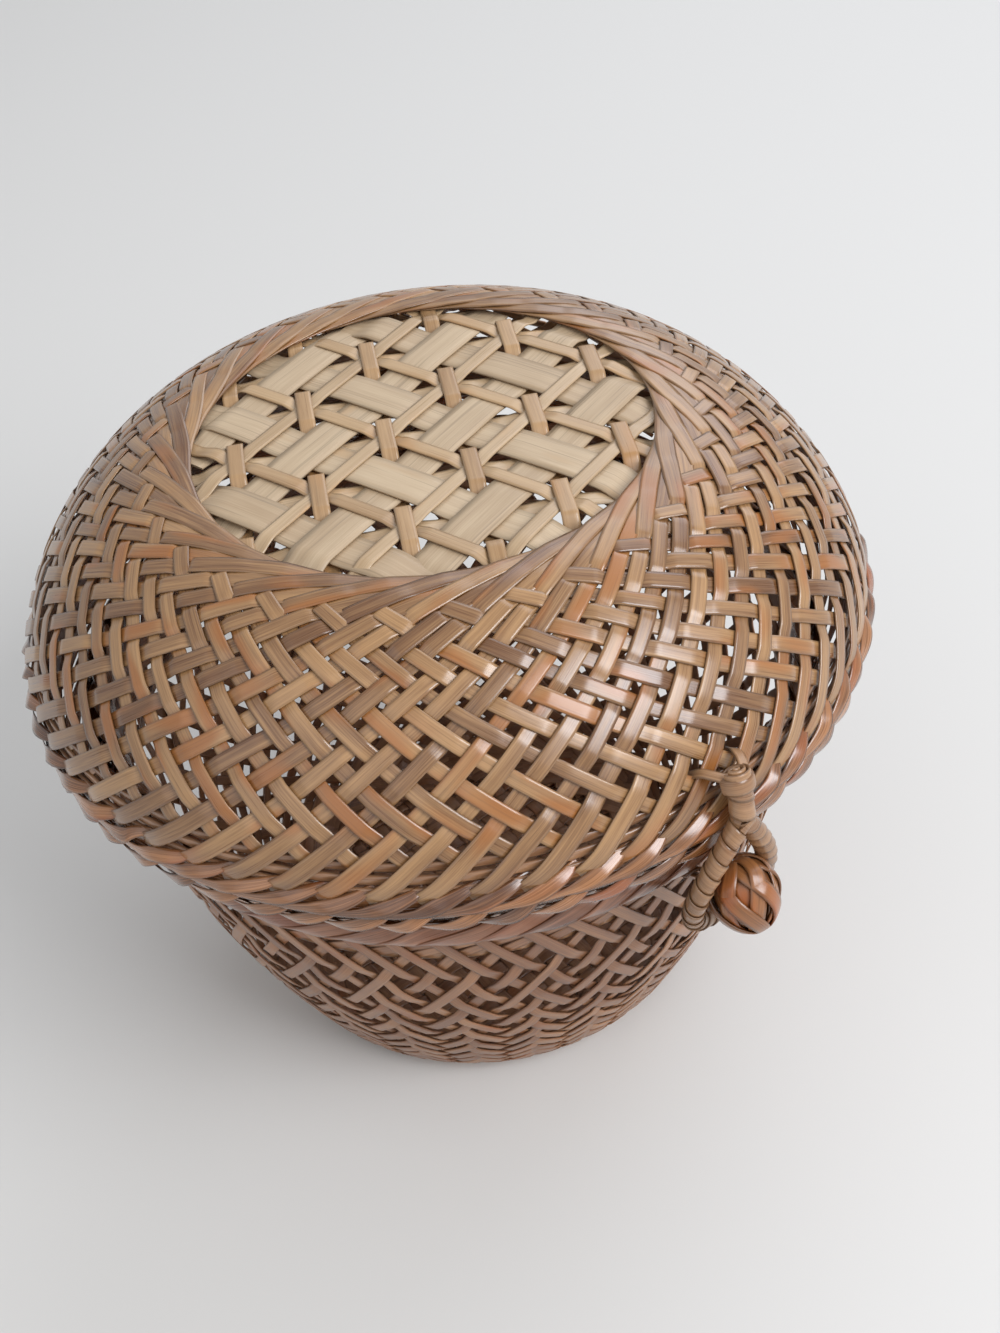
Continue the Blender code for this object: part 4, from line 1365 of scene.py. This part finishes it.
@dataclass
class Clasp(Assembly):
    """Staple, bound loop and braided knob. Places are given as across, out from the axis, and height."""

    staple_strip: Kind = Kind(BINDING_STRIP, Slot.BINDING, 2.7, 1.1, 0.5)
    core_cane: Kind = Kind(RATTAN_CORE, Slot.CORE, 3.4, 3.4, 0.0)
    leg_strip: Kind = Kind(BINDING_STRIP, Slot.BINDING, 5.1, 0.5, 0.6)
    neck_strip: Kind = Kind(BINDING_STRIP, Slot.BINDING, 6.2, 0.6, 0.6)
    collar_strip: Kind = Kind(BINDING_STRIP, Slot.BINDING, 2.3, 0.8, 0.35)
    knob_strand: Kind = Kind(KNOB_BRAID, Slot.KNOB, 4.7, 0.9, 0.4)
    stem_strand: Kind = Kind(KNOB_BRAID, Slot.KNOB, 3.0, 1.2, 0.2)
    knot_strand: Kind = Kind(KNOB_BRAID, Slot.KNOB, 2.0, 1.6, 0.2)
    drop: float = 54.4  # from the pivot down to the loop's bottom
    foot_out: float = 115.5  # how far out that bottom lies
    bow: float = 7.4  # outward from the pivot
    bend_rise: float = 6.5  # of the widest bow above the middle
    half_width: float = 12.8  # between the legs' middles
    split: float = 0.29  # share of the way down where the legs part
    leg_radius: float = 2.45
    neck_radius: float = 2.9
    winding: float = 4.6  # from turn to turn on the legs
    knob_radius: float = 8.8
    knob_half: float = 10.3
    knob_tilt: float = 56.0  # degrees that its end points down
    knob_turn: float = 84.0  # degrees that its strands turn from end to end
    strands: int = 6
    stem: float = 4.8
    stem_root: tuple[float, float] = (96.9, 105.95)  # where it starts inside the wall, out and height
    knob_start: float = 3.5  # how far before the knob's middle the stem ends
    seed: int = 21

    def __post_init__(self) -> None:
        """Find the pivot and the knob from their solids."""
        low, high = box("clasp_staple")
        self.pivot = np.array([-low[1] - 1.2, (low[2] + high[2]) / 2])
        low, high = box("clasp_knob")
        self.knob = np.array([-(low[1] + high[1]) / 2, (low[2] + high[2]) / 2])
        tilt = math.radians(self.knob_tilt)
        self.knob_axis = np.array([math.cos(tilt), -math.sin(tilt)])
        self.random = np.random.default_rng(self.seed)

    @staticmethod
    def _front(path: np.ndarray, across: Any = 0.0) -> np.ndarray:
        """Points at the front, which looks along -Y, from rows of out and height."""
        return np.stack(np.broadcast_arrays(across, -path[..., 0], path[..., 1]), axis=-1)

    def _hang(self, share: np.ndarray, across: Any = 0.0) -> np.ndarray:
        """Points of the hanging loop.

        Args:
            share: Shares of the way down from the pivot to its bottom.
            across: How far from its middle line they lie.

        Returns:
            The points.
        """
        foot = (self.foot_out, self.pivot[1] - self.drop)
        bend = self.pivot + [self.bow, self.bend_rise - self.drop / 2]
        return self._front(bent([self.pivot, bend, foot], share), across)

    def _teardrop(self, first: float, last: float, count: int) -> np.ndarray:
        """Points round the loop's legs.

        Args:
            first: Angle of the first point in degrees, from 0 at the top to 180 at the bottom.
            last: Angle of the last point.
            count: How many points.

        Returns:
            The points.
        """
        angles = np.linspace(first, last, count)
        turn = np.radians(angles)
        share = self.split + (1 - self.split) * (1 - np.cos(turn)) / 2
        widest = 4 / math.sqrt(27)
        across = self.half_width / widest * np.sin(turn) * np.abs(np.sin(turn / 2))
        slim = np.where(angles < 180, 1 - 0.42 * np.cos(turn / 2) ** 2, 1.0)
        return self._hang(share, across * slim)

    def _wind(
        self, line: np.ndarray, radii: tuple[float, float], step: float, lean: float, tone: float
    ) -> Strip:
        """Wind a strip round a line, each turn's lower edge over the next.

        Args:
            line: Points that it is wound round.
            radii: Reach sideways and towards the front.
            step: Distance from turn to turn.
            lean: Degrees by which the strip's face tips along the line.
            tone: Its shade.

        Returns:
            The strip.
        """
        samples_per_turn = 22
        lengths = np.concatenate([[0.0], np.cumsum(np.linalg.norm(np.diff(line, axis=0), axis=1))])
        ways = np.linspace(0, lengths[-1], int(lengths[-1] / step * samples_per_turn))
        middle = np.stack([np.interp(ways, lengths, line[:, axis]) for axis in range(3)], axis=1)
        along = headings(middle)
        forward = np.array([0.0, -1.0, 0.0])
        front = unit(forward - along * (along @ forward)[:, None])
        side = np.cross(along, front)
        angle = (math.tau * ways / step)[:, None]
        reach = side * radii[0] * np.cos(angle) + front * radii[1] * np.sin(angle)
        look = unit(side * np.cos(angle) / radii[0] + front * np.sin(angle) / radii[1])
        tip = math.radians(lean)
        return Strip.even(middle + reach, unit(look * math.cos(tip) - along * math.sin(tip)), tone)

    def _rod(self, points: np.ndarray) -> Strip:
        """Plain cane along points at the front."""
        along = headings(points)
        side = unit(np.cross(along, [0.31, 0.05, 0.95]))
        return Strip.even(points, np.cross(side, along), 0.5)

    def _knob_strands(self) -> list[Strip]:
        """Strands that cross each other from pole to pole of the knob, over straight ones that fill it.

        Returns:
            The strands.
        """
        axis = self._front(self.knob_axis)
        up = self._front(-self.knob_axis[::-1] * [1, -1])
        sideways = np.array([1.0, 0.0, 0.0])
        centre = self._front(self.knob)
        slope = np.radians(np.linspace(9, 171, 46))
        sine, cosine = np.sin(slope), np.cos(slope)
        share = (slope - slope[0]) / (slope[-1] - slope[0])
        rows_each = 2 * self.strands * self.knob_turn / 360
        crossings = np.arange(-1, rows_each + 1)
        strips = []
        for way in (1, -1, 0):
            levels = np.where(crossings % 3 == 0, 0.42, -0.42) * way
            lift = stepped(share * rows_each, crossings + 0.5, levels, 0.2) - (0.5 if way else 1.8)
            radius = ((self.knob_radius + lift) * sine * (1.02 + 0.14 * cosine))[:, None]
            reach = -((self.knob_half + lift) * cosine)[:, None]
            for i in range(self.strands):
                turn = np.radians(360 / self.strands * i + way * self.knob_turn * share)[:, None]
                spin = sideways * np.cos(turn) + up * np.sin(turn)
                points = centre + spin * radius + axis * reach
                looks = spin * (sine / self.knob_radius)[:, None] - axis * (cosine / self.knob_half)[:, None]
                strips.append(Strip(points, unit(looks), 0.55 + 0.45 * sine**0.7, self.random.random()))
        return strips

    def _stem(self) -> np.ndarray:
        """Path of the stem from inside the wall up over the border into the knob.

        Returns:
            Its points.
        """
        neck = self.knob - self.knob_axis * self.knob_half
        border = self.shape.mouth_radius + self.shape.rope_radius
        corners = [
            self.stem_root,
            (neck[0], self.stem_root[1] - self.stem / 2),
            (border, neck[1] + self.stem / 2),
            self.knob - self.knob_axis * self.knob_start,
        ]
        return self._front(bent(corners, np.linspace(0, 1, 30)))

    def _build_staple(self) -> None:
        """Bend and dress the strand that holds the loop, in through the lid's weave at both ends."""
        half = ((8.0, -11.0, -6.0), (7.0, -9.2, -3.0), (5.8, -6.4, -0.6), (4.4, -3.0, 0.2), (2.6, -0.4, 0.1))
        across_reach_lift = [(-x, *rest) for x, *rest in half] + [(0.0, 0.0, 0.0), *half[::-1]]
        path = through(across_reach_lift, 60)
        points = self._front(path[:, 1:] + self.pivot, path[:, 0])
        staple = Strip.even(points, (0.0, -0.4, 0.92), 0.7)
        self.weaver.weave("clasp_staple_strand", [staple], self.staple_strip, Body.LID, "clasp_staple")

    def _build_loop(self) -> None:
        """Make and dress the loop: its core, the windings of legs and neck, and the collar round its eye."""
        rods = [self._rod(self._teardrop(14, 346, 160)), self._rod(self._hang(np.linspace(0.035, 0.34, 16)))]
        leg, neck = self.leg_radius, self.neck_radius
        legs = self._wind(self._teardrop(13, 347, 400), (leg, leg), self.winding, 6.0, 0.45)
        slim = self._wind(self._hang(np.linspace(0.05, 0.3, 60)), (neck, neck - 0.3), 5.6, 3.0, 0.6)
        top = self._hang(np.linspace(0.0, 0.03, 20))
        rolls = []
        for lift, radius, width in ((1.6, 0.8, 1.0), (1.5, 2.1, 1.0), (1.0, 3.3, 0.9), (-1.6, 3.9, 2.0)):
            wound = self._wind(top + [0.0, 0.0, lift], (radius, radius - 0.2), 1.6, 0.0, 0.7 - 0.1 * width)
            wound.widths *= width
            rolls.append(wound)
        loop, weave = Body.LOOP, self.weaver.weave
        weave("loop_core_cane", rods, self.core_cane, loop, "loop_core")
        weave("loop_leg_winding", [legs], self.leg_strip, loop, "loop_binding")
        weave("loop_neck_winding", [slim], self.neck_strip, loop, "loop_neck_binding")
        weave("loop_collar", rolls, self.collar_strip, loop)

    def _build_knob(self) -> None:
        """Braid and dress the knob, its twisted stem and the knot that holds the stem inside the wall."""
        stem = self._stem()
        twist = [self._wind(stem, (1.7, 1.7), 13.0, 0.0, tone) for tone in (0.3, 0.7)]
        low, high = box("clasp_stem_knot")
        centre, turn = (low + high) / 2, np.radians(np.linspace(0, 700, 60))
        radius = (high[0] - low[0]) / 2 - 1.2
        offsets = np.stack([radius * np.cos(turn), np.linspace(-0.5, 0.5, 60), radius * np.sin(turn)], axis=1)
        knot = Strip.even(centre + offsets, unit(offsets), 0.5)
        basket, weave = Body.BASKET, self.weaver.weave
        weave("knob_strands", self._knob_strands(), self.knob_strand, basket, "clasp_knob")
        weave("knob_stem_strands", [*twist, self._rod(stem)], self.stem_strand, basket, "clasp_knob_stem")
        weave("stem_knot_strand", [knot], self.knot_strand, basket, "clasp_stem_knot")

    def build(self) -> None:
        """Make and dress the clasp."""
        self._build_staple()
        self._build_loop()
        self._build_knob()


@dataclass
class Studio:
    """Floor, light and the photograph's camera."""

    place: tuple[float, float, float] = (-198.7, -316.1, 445.7)  # before it is turned
    look: tuple[float, float, float] = (0.4155, 0.6118, -0.6731)
    down: tuple[float, float, float] = (-0.4715, -0.4880, -0.7345)  # the way that the picture's foot points
    focal_pixels: float = 1682.4  # of the photograph
    picture_height: float = 1333.0
    sensor: float = 36.0
    lamp_distance: float = 1.6  # in metres, as are the next two
    lamp_aim: float = 0.1  # height at which the lamps aim
    floor_half: float = 3.0

    @staticmethod
    def _facing(back: np.ndarray, up: Any, place: np.ndarray) -> Matrix:
        """Stand of a thing that looks away from its back.

        Args:
            back: Direction of its back.
            up: Direction that is roughly up.
            place: Where it stands, in metres.

        Returns:
            Its matrix.
        """
        right = unit(np.cross(up, back))
        columns = np.stack([right, np.cross(back, right), back, place], axis=1)
        return Matrix([*columns.tolist(), [0.0, 0.0, 0.0, 1.0]])

    def camera(self) -> None:
        """Stand the camera where the photograph was taken."""
        data = bpy.data.cameras.new("photo_camera")
        data.sensor_width = self.sensor
        data.lens = self.focal_pixels * self.sensor / self.picture_height
        data.clip_start = 0.01
        stand = self._facing(-unit(np.array(self.look)), -np.array(self.down), np.array(self.place) * MM)
        camera = bpy.data.objects.new("photo_camera", data)
        camera.matrix_world = Matrix.Rotation(math.radians(PHOTO_TURN), 4, "Z") @ stand
        bpy.context.scene.collection.objects.link(camera)
        bpy.context.scene.camera = camera

    def lamp(
        self, name: str, azimuth: float, elevation: float, side: float, watts: float, tint: Colour
    ) -> None:
        """Hang a square soft lamp that faces the basket.

        Args:
            name: The lamp's name.
            azimuth: Where it hangs, in degrees.
            elevation: How high, in degrees.
            side: Its side in metres.
            watts: Its power.
            tint: Its colour.
        """
        data = bpy.data.lights.new(name, "AREA")
        data.energy = watts
        data.size = side
        data.color = tint[:3]
        rise = math.radians(elevation)
        out = ring(np.array(math.radians(azimuth)), math.cos(rise), math.sin(rise))
        lamp = bpy.data.objects.new(name, data)
        lamp.matrix_world = self._facing(out, UPWARD, out * self.lamp_distance + [0.0, 0.0, self.lamp_aim])
        bpy.context.scene.collection.objects.link(lamp)

    def floor(self) -> None:
        """Lay a plain pale floor."""
        mesh = bpy.data.meshes.new("floor")
        half = self.floor_half
        corners = [(-half, -half, 0.0), (half, -half, 0.0), (half, half, 0.0), (-half, half, 0.0)]
        mesh.from_pydata(corners, [], [(0, 1, 2, 3)])
        floor = bpy.data.objects.new("floor", mesh)
        bpy.context.scene.collection.objects.link(floor)
        material = bpy.data.materials.new("pale_floor")
        material.use_nodes = True
        skin = material.node_tree.nodes["Principled BSDF"]
        skin.inputs["Base Color"].default_value = srgb(212, 210, 206)
        skin.inputs["Roughness"].default_value = 0.7
        mesh.materials.append(material)

    def build(self) -> None:
        """Set the whole studio up."""
        self.camera()
        self.floor()
        self.lamp("window", -72, 40, 0.9, 22, srgb(248, 250, 255))
        self.lamp("fill", -165, 35, 1.6, 4, srgb(246, 248, 255))
        self.lamp("back", 25, 40, 1.4, 10, srgb(240, 245, 255))
        world = bpy.data.worlds.new("studio")
        world.use_nodes = True
        background = world.node_tree.nodes["Background"]
        background.inputs["Color"].default_value = srgb(238, 240, 243)
        background.inputs["Strength"].default_value = 0.62
        bpy.context.scene.world = world
        bpy.context.scene.view_settings.view_transform = "Standard"


def main() -> None:
    """Build the whole basket and its studio."""
    logging.basicConfig(level=logging.INFO, format="%(message)s")
    Studio().build()
    shape, weaver = Shape.measured(), StripWeaver()
    for assembly in (Dome, BodyWall, Panel, Hoops, BaseMat, Hinge, Clasp):
        assembly(shape, weaver).build()


if __name__ == "__main__":
    main()
